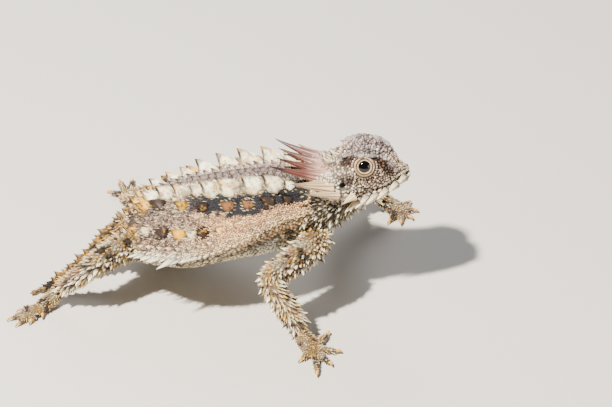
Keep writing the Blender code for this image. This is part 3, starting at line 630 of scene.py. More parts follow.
def trunk_colours(points, _guide):
    x, side, height, half, roof = in_body(points)
    broad, fine = noise(points, 5, 1), noise(points, 1.3, 2)
    speck, streak = noise(points, 0.8, 4), noise(points * (0.22, 1, 1), 1.1, 3)
    out = np.abs(side) / np.maximum(half, 1)
    line = midline(x) * (1 - np.clip(out, 0, 1))
    off = np.abs(side - line) + 1.2 * (broad - 0.5)
    off_stripe = np.abs(side - line + 1.3 * step(x, 0, 10)) + 0.8 * (broad - 0.5)
    stripe = 1 - step(off_stripe, 2.2, 3.2)
    front, rump = step(x, -4, 12), 1 - step(x, -21, -14)
    pale = step(out, 0.84, 0.97) * step(broad + 0.4 * fine, 0.45, 0.75)
    band = 1 - step(np.abs(out - along_table(BAND_AT, x)) + 0.1 * (fine - 0.5), 0.1, 0.15)
    inner = along_table(BAND_AT, x) - 0.12
    field = step(off, 2.6, 3.6) * (1 - step(out, inner - 0.05, inner)) * step(x, -27, -20)
    shoulder = step(x, 23, 27) * step(out, 0.36, 0.44) * (1 - step(out, 0.72, 0.8))
    above = painted(
        flat("flank", len(points)),
        ("rear", 1 - step(x, -14, 4)),
        ("peach", front * (0.45 + 0.55 * step(streak, 0.35, 0.55))),
        ("rust", 0.6 * step(fine, 0.55, 0.75) * step(out, 0.72, 0.85) * (1 - 0.5 * front)),
        ("umber", 0.75 * step(speck, 0.6, 0.74) * (1 - 0.85 * front)),
        ("cream", 0.6 * step(1 - speck, 0.64, 0.78) * (1 - 0.7 * front)),
        ("cream", (0.85 - 0.55 * front) * pale),
        ("straw", 0.4 * rump * step(fine, 0.4, 0.6)),
        ("umber", 0.95 * rump * step(broad, 0.3, 0.44)),
        ("band", band * (0.25 + 0.75 * step(x + 6 * (broad - 0.5), -3, 3))),
        ("brown", 0.45 * band * step(fine, 0.6, 0.75)),
        ("cream", field * (0.75 + 0.25 * fine)),
        ("umber", 0.6 * field * step(speck, 0.66, 0.78)),
        ("stripe", stripe * step(x, -24, -18)),
        ("umber", 0.6 * stripe * step(speck, 0.62, 0.75)),
        ("band", 0.95 * shoulder),
    )
    below = painted(
        flat("belly", len(points)),
        ("olive", 0.6 * step(out, 0.6, 0.9)),
        ("umber", 0.85 * step(noise(points, 1.5, 5), 0.54, 0.64)),
        ("cream", 0.75 * step(noise(points, 1.3, 16), 0.5, 0.62)),
        ("white", 0.8 * bump(x, 22.5, 4.5) * bump(out, 0.66, 0.14)),
    )
    under = height < -roof - 0.4 - along_table(FLANK_EDGE, x)
    return np.where(under[:, None], below, above)


# %% [markdown]
# The head is grey above and pale on the cheek, with a brown streak under the brow, behind and
# before the eye, partly its own colour and partly painted shadow of the brow, and a few brown
# spots. Legs are straw with dark spots, the throat is dark and the tail is banded.

# %% Markings of head, neck, legs and tail
FACE_SPOTS = (
    # place in the head's frame and reach
    ((-12.6, 2.2, -2.2), 1.1), ((-10.6, 4.4, -1.6), 0.8), ((-6.0, 8.0, 0.8), 1.0),
    ((-5.6, 10.8, -4.4), 1.3),
)


def head_colours(points, _guide):
    at = in_head(points)
    at[:, 1] = np.abs(at[:, 1])
    u, v, w = at.T
    fine, broad = noise(points, 0.8, 9), noise(points, 3.0, 10)
    cheek = bump(u, -9.5, 5.0) * bump(w, -6.0, 3.8) * step(v, 7, 9)
    streak = samples_of(BROW_SHADE, 40)
    away = np.linalg.norm(at[:, None] - streak[None], axis=2).min(1)
    spots = [
        ("brown", 0.85 * (1 - step(np.linalg.norm(at - spot, axis=1), reach, 1.6 * reach)))
        for spot, reach in FACE_SPOTS
    ]
    return painted(
        flat("face", len(points)),
        ("dome", step(w, 0.2, 2.0) * step(u, -9, -4)),
        ("pink", 0.45 * step(broad, 0.45, 0.75)),
        ("cheek", np.clip(1.1 * cheek, 0, 1)),
        ("pink", 0.7 * step(-u, 10.5, 13.5) * step(v, 1, 4) * step(w, -6, -4)),
        ("throat", 0.8 * step(-w, 11.0, 12.4)),
        ("cheek", 0.35 * step(-w, 7.0 + 0.3 * u, 9.0 + 0.3 * u) * (1 - step(-w, 10.5, 12))),
        ("umber", (0.85 - 0.35 * cheek) * step(fine, 0.68, 0.8)),
        ("white", 0.3 * step(1 - fine, 0.68, 0.85)),
        # the streak under the brow: partly brown colour, partly painted shadow of the brow
        ("brown", 0.97 * (1 - step(away + 0.5 * (fine - 0.5), 1.0, 1.6))),
        *spots,
    )


def neck_colours(points, _guide):
    _, v, w = in_head(points).T
    fine, broad = noise(points, 1.1, 12), noise(points, 3.0, 13)
    return painted(
        flat("throat", len(points)),
        ("neck", step(w, -18, -11) * step(broad + 0.3 * fine, 0.45, 0.85)),
        ("cream", 0.7 * step(w, -9, -6) * (1 - step(np.abs(v - 1), 4, 8))),
        ("leg_pale", 0.6 * step(fine, 0.62, 0.74)),
        ("umber", 0.6 * step(broad, 0.64, 0.74)),
    )


def leg_colours(points, guide):
    return painted(
        flat("leg", len(points)),
        ("leg_pale", 0.7 * step(noise(points, 3, 6), 0.4, 0.7)),
        ("straw", 0.6 * step(noise(points, 4, 7), 0.45, 0.65)),
        ("gold", 0.3 * (guide[:, PART] == FOOT_PART) * step(noise(points, 2, 17), 0.4, 0.7)),
        ("rose", 0.6 * step(noise(points, 3, 18), 0.56, 0.72)),
        ("spot", 0.92 * step(noise(points, 1.9, 8), 0.61, 0.68)),
        ("belly", 0.6 * step(-np.sin(guide[:, ROUND]), 0.3, 0.8)),
    )


def tail_colours(points, guide):
    bands = step(np.sin(guide[:, ALONG] * 30 + 2 * noise(points, 4, 15)), 0.2, 0.7)
    return painted(
        flat("brown", len(points)),
        ("straw", 0.75 * step(noise(points, 2.2, 14), 0.48, 0.64)),
        ("umber", 0.8 * bands),
        ("belly", 0.7 * step(-np.sin(guide[:, ROUND]), 0.1, 0.5)),
    )


MARKINGS = (
    ((TRUNK_PART,), trunk_colours), ((HEAD_PART,), head_colours), ((NECK_PART,), neck_colours),
    ((TAIL_PART,), tail_colours), ((LEG_PART, FOOT_PART), leg_colours),
)


def colours(points, guide):
    """The marking at each point, told by the part of the animal that it lies on."""
    points = np.asarray(points, float)
    part = guide[:, PART].astype(int)
    found = np.zeros((len(points), 3))
    for kinds, colours_of in MARKINGS:
        here = np.isin(part, kinds)
        if here.any():
            found[here] = colours_of(points[here], guide[here])
    return found


skin_guide = guide_of(coords(skin.data))
skin_colours = colours(coords(skin.data), skin_guide)
print("parts on the skin", np.bincount(skin_guide[:, PART].astype(int)))

# %% [markdown]
# The skin is unfolded by its own shape, so that each scale can lie on its root's place in the
# same map.

# %% Unfolding of the skin
UNFOLD_ANGLE, ISLAND_MARGIN = math.radians(66), 0.002


def unfold(body, map_name):
    bpy.ops.object.select_all(action="DESELECT")
    body.select_set(True)
    bpy.context.view_layer.objects.active = body
    body.data.uv_layers.new(name=map_name)
    bpy.ops.object.mode_set(mode="EDIT")
    bpy.ops.mesh.select_all(action="SELECT")
    bpy.ops.uv.smart_project(angle_limit=UNFOLD_ANGLE, island_margin=ISLAND_MARGIN)
    bpy.ops.object.mode_set(mode="OBJECT")


unfold(skin, "OFBake")
skin.data.calc_loop_triangles()
triangles = values_of(skin.data.loop_triangles, "vertices", 3, int)
corners = values_of(skin.data.loop_triangles, "loops", 3, int)
map_places = values_of(skin.data.uv_layers["OFBake"].data, "uv", 2)
skin_points, skin_normals = coords(skin.data), normals(skin.data)
skin_tree = BVHTree.FromPolygons(skin_points.tolist(), triangles.tolist())
print("triangles of skin", len(triangles))


def weights_in(points, faces):
    """How near each point lies to the three corners of its triangle."""
    a, b, c = (skin_points[triangles[faces, k]] for k in range(3))
    v0, v1, v2 = b - a, c - a, points - a
    d00, d01, d11 = (v0 * v0).sum(1), (v0 * v1).sum(1), (v1 * v1).sum(1)
    d20, d21 = (v2 * v0).sum(1), (v2 * v1).sum(1)
    low = np.maximum(d00 * d11 - d01 * d01, 1e-12)
    v = (d11 * d20 - d01 * d21) / low
    w = (d00 * d21 - d01 * d20) / low
    return np.clip(np.stack([1 - v - w, v, w], 1), 0, 1)


def on_skin(points):
    """The nearest skin to each point: place, normal and place in the map."""
    found = [skin_tree.find_nearest(point) for point in points]
    at = np.array([f[0] for f in found])
    faces = np.array([f[2] for f in found])
    share = weights_in(at, faces)[:, :, None]
    normal = unit((skin_normals[triangles[faces]] * share).sum(1))
    return at, normal, (map_places[corners[faces]] * share).sum(1)


# %% [markdown]
# Scales, spines and plates are each made once, at unit size, from plain cones and balls, and then
# laid by the thousand. Along x a shape points back along the body, z stands off the skin.

# %% How a shape is made
FOOT_SHARE = 0.12  # share of a spine's points that lie under the skin


def shape_of(build, lying=False, rim=False):
    """Points, faces, rise from root to tip, and how far each point belongs to the dark back."""
    bm = bmesh.new()
    build(bm)
    bmesh.ops.recalc_face_normals(bm, faces=bm.faces)
    bmesh.ops.triangulate(bm, faces=bm.faces)
    bm.verts.index_update()
    bm.normal_update()
    at = np.array([vertex.co[:] for vertex in bm.verts])
    facing = np.array([vertex.normal.x for vertex in bm.verts])
    faces = np.array([[vertex.index for vertex in face.verts] for face in bm.faces])
    bm.free()
    rise = np.clip(at[:, 0] if lying else at[:, 2], 0, 1)
    behind = step(facing, 0.2, 0.55) * step(rise, 0.03, 0.2)
    if rim:
        front, rear = fin_profile(rise)
        edge = (at[:, 0] - front) / (rear - front) + 0.15 * rise**2
        behind = step(edge, 0.82, 0.92) * step(rise, 0.03, 0.15)
    return at, faces, rise, behind


def flat_tops(bm):
    return [face for face in bm.faces if face.normal.z > 0.9]


def rounded(bm, around, along, place):
    """A sphere whose points are sent to place(t, angle), t running from root to tip."""
    bmesh.ops.create_uvsphere(bm, u_segments=around, v_segments=along, radius=1.0)
    for vertex in bm.verts:
        t = math.acos(max(-1.0, min(1.0, -vertex.co.z))) / math.pi
        vertex.co = place(t, math.atan2(vertex.co.y, vertex.co.x))


def fin_profile(up):
    """Where a fin begins in front and ends behind at each height."""
    return -1.0 + 2.0 * up**2.2, 1.0 + 0.25 * up**2


# %% [markdown]
# Grains cover the trunk, plates the head and sharp scales the legs, neck and tail. They are cones
# of few sides, cut short and with their tops drawn up.

# %% Shapes of scales
def granule(bm):
    """A domed scale with a faint point behind."""
    bmesh.ops.create_cone(bm, cap_ends=True, segments=7, radius1=1.0, radius2=0.62, depth=1.0)
    bmesh.ops.poke(bm, faces=flat_tops(bm), offset=0.3)
    for vertex in bm.verts:
        vertex.co.x *= 1.0 + 0.25 * max(vertex.co.x, 0.0)
        vertex.co.z += 0.15 + 0.25 * vertex.co.x


def plate(bm):
    """A broad low plate of the head, its rim bevelled and its middle raised."""
    bmesh.ops.create_cone(bm, cap_ends=True, segments=7, radius1=1.0, radius2=0.8, depth=1.0)
    inset = bmesh.ops.inset_individual(bm, faces=flat_tops(bm), thickness=0.3, depth=0.22)
    middle = [face for face in flat_tops(bm) if face not in inset["faces"]]
    bmesh.ops.poke(bm, faces=middle, offset=0.12)
    for vertex in bm.verts:
        vertex.co.z += 0.12


def pointed(bm):
    """A sharp scale whose tip is drawn back past its foot and stands off the skin."""
    bmesh.ops.create_cone(bm, cap_ends=True, segments=6, radius1=1.0, radius2=0.6, depth=1.0)
    tip = bmesh.ops.poke(bm, faces=flat_tops(bm))["verts"]
    for vertex in bm.verts:
        x, y, z = vertex.co
        vertex.co = (x + 0.3, 0.72 * y, 0.3 + 0.2 * x) if z > 0 else (x, 0.72 * y, -0.15)
    for vertex in tip:
        vertex.co = (1.5, 0.0, 1.0)


# %% [markdown]
# The big spines of the back are broad fins of horn, uneven from foot to tip. Legs, neck and tail
# bear slender spines, and the fringe and the chin flat pointed blades.

# %% Shapes of spines
def climbed(t, buried):
    """Height at a share of the way, from below the skin to the tip at 1."""
    return -buried + (1 + buried) * max(0.0, (t - FOOT_SHARE) / (1 - FOOT_SHARE))


def wedge(bm, around=18, along=10):
    """A broad fin of horn: its front climbs in a bow and its tip lies over its steep back."""
    def place(t, angle):
        rise = climbed(t, 0.2)
        up = max(rise, 0.0)
        front, rear = fin_profile(up)
        uneven = 1 + 0.07 * math.cos(4 * angle) + 0.06 * math.cos(7 * angle + 5 * t)
        ring = min(1.0, t / FOOT_SHARE) * uneven
        half = (rear - front) / 2 * ring
        wide = (0.15 * (1 - up) + 0.85 * (1 - up) ** 2) * ring
        return ((front + rear) / 2 + half * math.cos(angle), wide * math.sin(angle), rise)

    rounded(bm, around, along, place)


def spike(bm):
    """A slender spine on a wide foot, bent back."""
    def place(t, angle):
        rise = climbed(t, 0.25)
        up = max(rise, 0.0)
        wide = (1 - up) ** 1.25 * (1 + 0.14 * math.cos(4 * angle)) * min(1.0, t / FOOT_SHARE)
        return (wide * math.cos(angle) + 0.7 * up**1.5, wide * math.sin(angle), rise)

    rounded(bm, 8, 8, place)


def blade(bm):
    """A flat pointed scale of the fringe: x is its length, root at 0 and tip at 1."""
    def place(t, angle):
        wide = min(1.0, 5.0 * t) * (1 - t) ** 0.8 * (1 + 0.5 * t)
        keel = 1 + 0.5 * max(0.0, math.sin(angle)) ** 6
        return (-0.25 + 1.25 * t, wide * math.cos(angle), keel * wide * math.sin(angle))

    rounded(bm, 10, 9, place)


def fin(bm):
    wedge(bm, 28, 20)


GRANULE, PLATE, POINTED, SPIKE = (shape_of(build) for build in (granule, plate, pointed, spike))
FIN, WEDGE = shape_of(fin, rim=True), shape_of(wedge, rim=True)
BLADE = shape_of(blade, lying=True)
SHAPES = (GRANULE, PLATE, POINTED, SPIKE, FIN, WEDGE, BLADE)
print("faces of shapes", [len(shape[1]) for shape in SHAPES])

# %% [markdown]
# A coat gathers what is laid, with the colour at the root and the tip of each scale, its place in
# the skin's map, and makes it one mesh. Creases are painted darker, as painted shade.

# %% Coats
MAP_PATCH = 0.0014  # half width of one scale's patch in the map


class Coat:
    def __init__(self):
        self.points, self.faces, self.shades, self.places, self.count = [], [], [], [], 0

    def lay(
        self, shape, at, normal, way, size, root, tip, places, back=None, crease_shade=0.28, dip=None,
        spots=(),
    ):
        """Lays one scale at each place: size is length, width and height."""
        form, faces, rise, behind = shape
        at, normal = np.asarray(at, float), unit(normal)
        way = np.broadcast_to(way, at.shape)
        way = unit(way - (way * normal).sum(1, keepdims=True) * normal)
        side = np.cross(normal, way)
        size = np.broadcast_to(size, (len(at), 3))
        local = form[None] * size[:, None, :]
        found = at[:, None] + local[..., :1] * way[:, None] + local[..., 1:2] * side[:, None]
        found = found + local[..., 2:] * normal[:, None]
        share = (rise**1.3 if dip is None else step(rise, dip, 1.0))[None, :, None]
        shade = root[:, None] * (1 - share) + tip[:, None] * share
        if back is not None:
            weight = behind[None, :, None]
            shade = shade * (1 - weight) + back[:, None] * weight
        for tint, grain, low, amount in spots:
            patch = noise(found.reshape(-1, 3), grain, 61).reshape(shade.shape[:2])
            share = (amount * step(patch, low, low + 0.1))[..., None]
            shade = shade * (1 - share) + TINT[tint] * share
        # crease_shade: how dark the foot of each scale is painted, as painted shade in the crease
        shade = shade * (crease_shade + (1 - crease_shade) * step(rise, 0.0, 0.4))[None, :, None]
        mottle = noise(found.reshape(-1, 3), 0.55, 51).reshape(shade.shape[:2])
        shade = shade * (0.75 + 0.5 * mottle)[..., None]
        self.points.append(found.reshape(-1, 3))
        self.shades.append(shade.reshape(-1, 3))
        first = self.count + len(form) * np.arange(len(at))
        self.faces.append((faces[None] + first[:, None, None]).reshape(-1, 3))
        patch = MAP_PATCH * form[:, :2] / np.abs(form[:, :2]).max()
        self.places.append((places[:, None] + patch[None]).reshape(-1, 2))
        self.count += len(form) * len(at)

    def finish(self, name):
        points, faces = np.concatenate(self.points), np.concatenate(self.faces)
        body = mesh_from(name, points, faces, np.concatenate(self.shades))
        places = np.clip(np.concatenate(self.places)[faces.ravel()], 0, 1)
        body.data.uv_layers.new(name="OFBake").data.foreach_set("uv", places.ravel())
        print(name, len(faces), "triangles")
        return body


def mesh_from(name, points, faces, shades):
    mesh = bpy.data.meshes.new(name)
    mesh.vertices.add(len(points))
    mesh.vertices.foreach_set("co", np.asarray(points, float).ravel())
    mesh.loops.add(faces.size)
    mesh.loops.foreach_set("vertex_index", faces.ravel())
    mesh.polygons.add(len(faces))
    mesh.polygons.foreach_set("loop_start", np.arange(0, faces.size, 3))
    mesh.polygons.foreach_set("use_smooth", np.zeros(len(faces), bool))
    mesh.update(calc_edges=True)
    paint(mesh, shades)
    return linked(name, mesh)


def paint(mesh, shades):
    """Gives each point of a mesh its colour, in the attribute that the finishes read."""
    layer = mesh.color_attributes.new("marking", "FLOAT_COLOR", "POINT")
    values = np.ones((len(mesh.vertices), 4))
    values[:, :3] = np.clip(shades, 0, 1)
    layer.data.foreach_set("color", values.ravel())


def varied(shades, amount=0.12, dark=0.0):
    """Lighter or darker from scale to scale, with a share of scales that are nearly black."""
    found = shades * np.exp(amount * rng.normal(size=(len(shades), 1)))
    black = rng.random((len(shades), 1)) < dark
    return np.clip(np.where(black, 0.25 * found, found), 0, 1)


def motley(shades, picks):
    """Gives a share of the scales another tint."""
    draw, low = rng.random(len(shades)), 0.0
    for share, tint in picks:
        here = (draw >= low) & (draw < low + share)
        shades = np.where(here[:, None], 0.3 * shades + 0.7 * TINT[tint], shades)
        low += share
    return shades


# %% [markdown]
# The big spines stand in rows: a row of broad pale fins on each side of the middle, a row of
# gold, brown and dark ones outside it and smaller ones low on the flank. They are placed first,
# each with a rosette of small scales round its foot, so that fine scales keep clear of them.

# %% Rows of spines
FINS_RIGHT = (-22.4, -18.6, -14.1, -9.4, -4.4, 0.3, 5.0, 10.5, 17.3, 23.4, 28.2)
FINS_LEFT = (-21.5, -17.6, -13.2, -8.8, -4.6, 1.3, 8.0, 14.7, 21.5, 27.0)
FIN_SIZE = (2.7, 3.1, 4.1)
LOW_FIN = 0.3  # the x of a fin that stands lower than its neighbours
# spots of a spine: tint, size of the patches in mm, where they begin and how strong they are
FIN_SPOTS = (("straw", 1.9, 0.54, 0.6), ("stripe", 1.3, 0.6, 0.5), ("brown", 0.6, 0.68, 0.7))
SPINE_SPOTS = (("umber", 0.6, 0.6, 0.8), ("gold", 0.7, 0.71, 0.5))
DORSAL = [
    # x, share of the full size, tint, with a pale ring or not
    (-20.4, 0.8, "brown", 0), (-15.6, 1.0, "gold", 0), (-10.9, 0.9, "umber", 0),
    (-3.6, 1.1, "gold", 1), (3.0, 0.8, "umber", 0), (10.7, 0.85, "rust", 1),
    (16.5, 0.85, "rust", 1), (22.6, 0.75, "umber", 0), (28.0, 0.7, "umber", 0),
]
FLANK = [
    (-18.6, 0.8, "straw", 0), (-14.0, 1.0, "cream", 1), (-8.4, 0.9, "umber", 0),
    (-2.6, 1.05, "gold", 1), (0.9, 0.8, "cream", 0), (4.1, 0.9, "umber", 0),
    (9.0, 0.6, "peach", 0),
]
NO_RING, PALE_RING, OWN_RING = range(3)
keep_out = []
spines = Coat()


def keep_clear(at, reach):
    """Fine scales stay out of this reach of the places."""
    at = np.atleast_2d(at)
    keep_out.extend(np.column_stack([at, np.broadcast_to(reach, len(at))]))


def rosette(at, normal, way, size, tint, grain_size, count=13):
    """A ring of small sharp scales that lean on the foot of each spine."""
    side = np.cross(normal, way)
    for turn in np.linspace(0, 2 * np.pi, count, endpoint=False):
        along, across = np.cos(turn), np.sin(turn)
        out = along * way + across * side
        reach = (np.abs(along) * size[:, 0] + np.abs(across) * size[:, 1])[:, None]
        near, tilt, place = on_skin(at + (0.95 + 0.1 * rng.random((len(at), 1))) * reach * out)
        grain = np.tile((0.7, 0.62, 1.2), (len(at), 1)) * grain_size
        grain = grain * rng.uniform(0.7, 1.2, (len(at), 1))
        shade = varied(tint, 0.3, 0.12)
        # each small scale is painted darker at its root, as painted shade
        spines.lay(POINTED, near, tilt, way + 0.3 * out, grain, shade * 0.5, shade * 1.15, place)


def stand_spines(shape, across, lean, rows, full, dip=None, spots=(), crease_shade=0.5):
    """Stands a spine for each row: side, x, share, tints of root, tip and back, and ring."""
    number, uneven = np.arange(len(rows)), 0.1 if shape is FIN else 0.2
    side, x, share = (np.array([row[k] for row in rows]) for k in (0, 1, 2))
    x = x + 0.25 * wobble(number + 10 * across)
    share = share * (1 + uneven * wobble(2 * number + 5 * across))
    at, normal, place = on_skin(back_point(x, side * (across + lean * x)))
    way = unit(BACK_WAY + 0.25 * side[:, None] * BODY_LEFT)
    way = unit(way - (way * normal).sum(1, keepdims=True) * normal)
    size = np.array(full)[None] * share[:, None]
    root, tip, back = (np.array([TINT[row[k]] for row in rows]) for k in (3, 4, 5))
    erect = 1.6 if shape is FIN else 0.5
    stand = unit(normal + erect * BODY_UP + 0.15 * way)
    spines.lay(
        shape, at, stand, way, size, varied(root), varied(tip), place, back,
        crease_shade=crease_shade, dip=dip, spots=spots,
    )
    for shift, reach in ((0.0, 0.8), (0.55, 0.75), (-0.55, 0.75)):
        keep_clear(at + shift * size[:, :1] * way, reach * size[:, 1])
    for kind in (PALE_RING, OWN_RING):
        here = np.array([row[6] == kind for row in rows])
        if here.any():
            tint = flat("cream", here.sum()) if kind == PALE_RING else 0.8 * root[here]
            rosette(at[here], normal[here], way[here], size[here], tint, 0.45 + 0.25 * kind)


def ends_share(x):
    """Spines are smaller towards both ends of the trunk."""
    return float(np.clip(min(x + 27, 33 - x) / 9, 0.55, 1))


def fin_rows():
    rows = []
    for side, places in ((-1, FINS_RIGHT), (1, FINS_LEFT)):
        for x in places:
            share = ends_share(x) * float(0.88 + 0.27 * step(x, -3, 6))
            share = share * (0.75 if x == LOW_FIN else 1)
            root = "fin" if x > -17 else "straw"
            rows.append((side, x, share, root, "umber", "umber", PALE_RING))
    return rows


def spotted_rows(table):
    rows = []
    for side in (-1, 1):
        for x, share, tint, ring in table:
            kind = PALE_RING if ring else OWN_RING
            rows.append((side, x + 0.5 * (side > 0), share, tint, "umber", "umber", kind))
    return rows


def small_rows(first, last, spacing, share, root, tip):
    xs = np.arange(first, last, spacing)
    pairs = [(side, x + 0.4 * side) for side in (-1, 1) for x in xs]
    return [(*pair, share, root, tip, "umber", NO_RING) for pair in pairs]


stand_spines(FIN, 0.275, 0.0035, fin_rows(), FIN_SIZE, 0.6, FIN_SPOTS, 0.6)
for across, lean, table, full in (
    (0.48, 0.0070, DORSAL, (1.9, 1.9, 3.4)),
    (0.77, 0.0030, FLANK, (1.6, 1.6, 2.7)),
):
    stand_spines(WEDGE, across, lean, spotted_rows(table), full, 0.5, SPINE_SPOTS, 0.6)
for shape, across, lean, row, full, dip in (
    (WEDGE, 0.05, 0.0, (-19, 27, 2.3, 1.0, "stripe", "spot"), (0.9, 0.6, 1.5), 0.3),
    (WEDGE, 0.13, 0.0, (-17, 25, 2.6, 0.9, "stripe", "band"), (0.9, 0.6, 1.5), 0.3),
    (SPIKE, 0.62, 0.004, (-21, 2, 3.3, 1.0, "rear", "umber"), (1.1, 0.8, 1.2), None),
    (SPIKE, 0.38, 0.004, (-22, -6, 3.9, 1.0, "cream", "umber"), (1.1, 0.8, 1.2), None),
    (SPIKE, 0.9, 0.0, (-21, 8, 3.1, 1.0, "rear", "cream"), (1.1, 0.8, 1.0), None),
):
    stand_spines(shape, across, lean, small_rows(*row), full, dip)
print("big spines", len(keep_out) // 3)

# %% [markdown]
# The lips are rows of narrow plates above and below the groove of the mouth. A shelf of plates
# overhangs each eye and runs down to the snout, and ends behind in a small spike.

# %% Lips and brows
LOOK_EYE_AT = (-0.5, 7.65, -0.35)
LID_AXIS = (0.12, 1.0, 0.3)
head = Coat()


def face_row(points, size, tint, reach, vary, way=None, lean=(0, 0, 0)):
    """Lays plates at points of the head's frame, along the row or the given way."""
    points = np.asarray(points, float)
    for side in (-1, 1):
        row = mirrored(points, side)
        at, normal, place = on_skin(head_point(row))
        ahead = np.gradient(row, axis=0) @ HEAD_TURN.T if way is None else head_way(way, side)
        sized = np.broadcast_to(size, (len(at), 3))
        sized = sized * rng.uniform(1 - vary, 1 + vary, (len(at), 1))
        shade = varied(np.broadcast_to(TINT[tint], (len(at), 3)), 0.3)
        stand = normal + head_way(lean, side)
        # each plate is painted a little darker at its root, as painted shade
        head.lay(PLATE, at, stand, ahead, sized, shade * 0.85, shade * 1.1, place)
        keep_clear(at, reach)


along = np.linspace(0.06, 0.97, 15)
mouth_row = follow(MOUTH, along)
drop = np.stack([0 * along, 0 * along, 0.82 + 0.25 * along], 1)
face_row(mouth_row + drop, (0.72, 0.46, 0.42), "face", 0.75, 0.2)
face_row(mouth_row - drop, (0.72, 0.45, 0.42), "cheek", 0.75, 0.2)
for side in (-1, 1):
    keep_clear(head_point(mirrored(follow(MOUTH, np.linspace(0, 1, 40)), side)), 0.5)
    keep_clear(on_skin([head_point(mirrored(EAR_AT, side))])[0], 1.25)
    keep_clear(head_point(mirrored(np.array(LOOK_EYE_AT) + 1.2 * unit(LID_AXIS), side)), 3.5)
    keep_clear(on_skin([head_point(mirrored(NOSTRIL_AT, side))])[0], 0.6)
for count, rise, size, tint in (
    (15, 0.3, (0.66, 0.5, 0.35), "brown"),
    (10, 1.0, (1.25, 1.0, 0.35), "dome"),
):
    shelf = samples_of(BROW[:6, :3], count) + (0, 0.55 - 0.4 * rise, rise)
    shelf = shelf + 0.22 * wobble(np.arange(3 * count)).reshape(-1, 3)
    face_row(shelf, size, tint, 0.75, 0.4, (-0.5, 1.0, -0.3), (0, -0.3, 0.9))
ridge = samples_of(BROW[5:, :3], 8)[1:] + (0.2, 0.4, 0.5)
face_row(ridge, (0.75, 0.6, 0.4), "dome", 0.6, 0.3, (-0.6, 1.0, -0.3), (0, 0, 0.5))
print("places kept clear", len(keep_out))

# %% [markdown]
# A few single spines stand on the head: one behind each brow, some between the horns and one at
# the corner of the jaw.

# %% Single spines of the head
HEAD_SPIKES = [
    # place and way in the head's frame, length, radius, root and tip tint
    ((-11.6, 3.4, -2.0), (-0.5, 0.1, 1.0), 2.6, 0.9, "face", "umber"),
    ((-12.6, 7.4, -3.0), (-0.6, 0.2, 0.8), 1.2, 0.7, "face", "umber"),
    ((-7.4, 7.2, 1.4), (-0.9, 0.35, 0.45), 1.8, 0.8, "dome", "brown"),
    ((-5.0, 10.4, -11.6), (-0.5, 0.8, -0.35), 1.7, 0.9, "cheek", "white"),
    ((-10.4, 7.0, -1.4), (-0.7, 0.3, 0.8), 1.3, 0.7, "pink", "brown"),
    ((-12.2, 4.6, -2.6), (-0.7, 0.2, 0.8), 1.2, 0.7, "pink", "umber"),
]
for place_at, way, length, radius, root_tint, tip_tint in HEAD_SPIKES:
    for side in (-1, 1):
        at, _, place = on_skin(head_point([mirrored(place_at, side)]))
        size, root, tip = (radius, radius, length), flat(root_tint, 1), flat(tip_tint, 1)
        head.lay(SPIKE, at, head_way([way], side), BACK_WAY, size, root, tip, place)
print("points on the head", head.count)

# %% [markdown]
# Fine scales are strewn over the skin, never closer than their own width, and laid pointing back
# along the body or down the leg: grains on the trunk, smooth scales on the belly, sharp ones on
# legs, neck and tail, rough plates on the head.

# %% Strewing the fine scales
def strewn(mask, spacing, tries=5.0):
    """Places on the masked triangles of the skin that lie no closer than the spacing."""
    faces = np.nonzero(mask)[0]
    a, b, c = (skin_points[triangles[faces, k]] for k in range(3))
    area = np.linalg.norm(np.cross(b - a, c - a), axis=1) / 2
    count = int(tries * area.sum() / spacing**2)
    pick = rng.choice(len(faces), count, p=area / area.sum())
    r1, r2 = np.sqrt(rng.random(count)), rng.random(count)
    share = np.stack([1 - r1, r1 * (1 - r2), r1 * r2], 1)
    faces = faces[pick]
    at = (skin_points[triangles[faces]] * share[:, :, None]).sum(1)
    cells = np.floor(at / spacing).astype(int).tolist()
    taken, kept = {}, []
    near = [(i, j, k) for i in (-1, 0, 1) for j in (-1, 0, 1) for k in (-1, 0, 1)]
    limit = spacing * spacing
    for index, ((x, y, z), (a, b, c)) in enumerate(zip(at.tolist(), cells)):
        others = (q for i, j, k in near for q in taken.get((a + i, b + j, c + k), ()))
        if all((x - q[0]) ** 2 + (y - q[1]) ** 2 + (z - q[2]) ** 2 >= limit for q in others):
            taken.setdefault((a, b, c), []).append((x, y, z))
            kept.append(index)
    at, faces, share = at[kept], faces[kept], share[kept][:, :, None]
    normal = unit((skin_normals[triangles[faces]] * share).sum(1))
    place = (map_places[corners[faces]] * share).sum(1)
    clear = np.ones(len(at), bool)
    for x, y, z, r in keep_out:
        clear &= ((at - (x, y, z)) ** 2).sum(1) > r * r
    return at[clear], normal[clear], place[clear], guide_of(at[clear])


face_centres = skin_points[triangles].mean(1)
face_guide = skin_guide[triangles[:, 0]]
face_part = face_guide[:, PART].astype(int)
face_x, face_side, face_height, _, face_roof = in_body(face_centres)
face_head = in_head(face_centres)
on_trunk = face_part == TRUNK_PART
on_belly = on_trunk & (face_height < -face_roof - 0.6)


def trunk_way(at):
    """Scales of the trunk point back and a little outward."""
    _, side, _, half, _ = in_body(at)
    lean = 0.45 * np.clip(side / np.maximum(half, 1), -1, 1)[:, None]
    return BACK_WAY + lean * BODY_LEFT


def straight_back(at):
    return np.tile(BACK_WAY, (len(at), 1))


def tumbled(at):
    """Scales of the head lie every way."""
    return unit(rng.normal(size=(len(at), 3)))


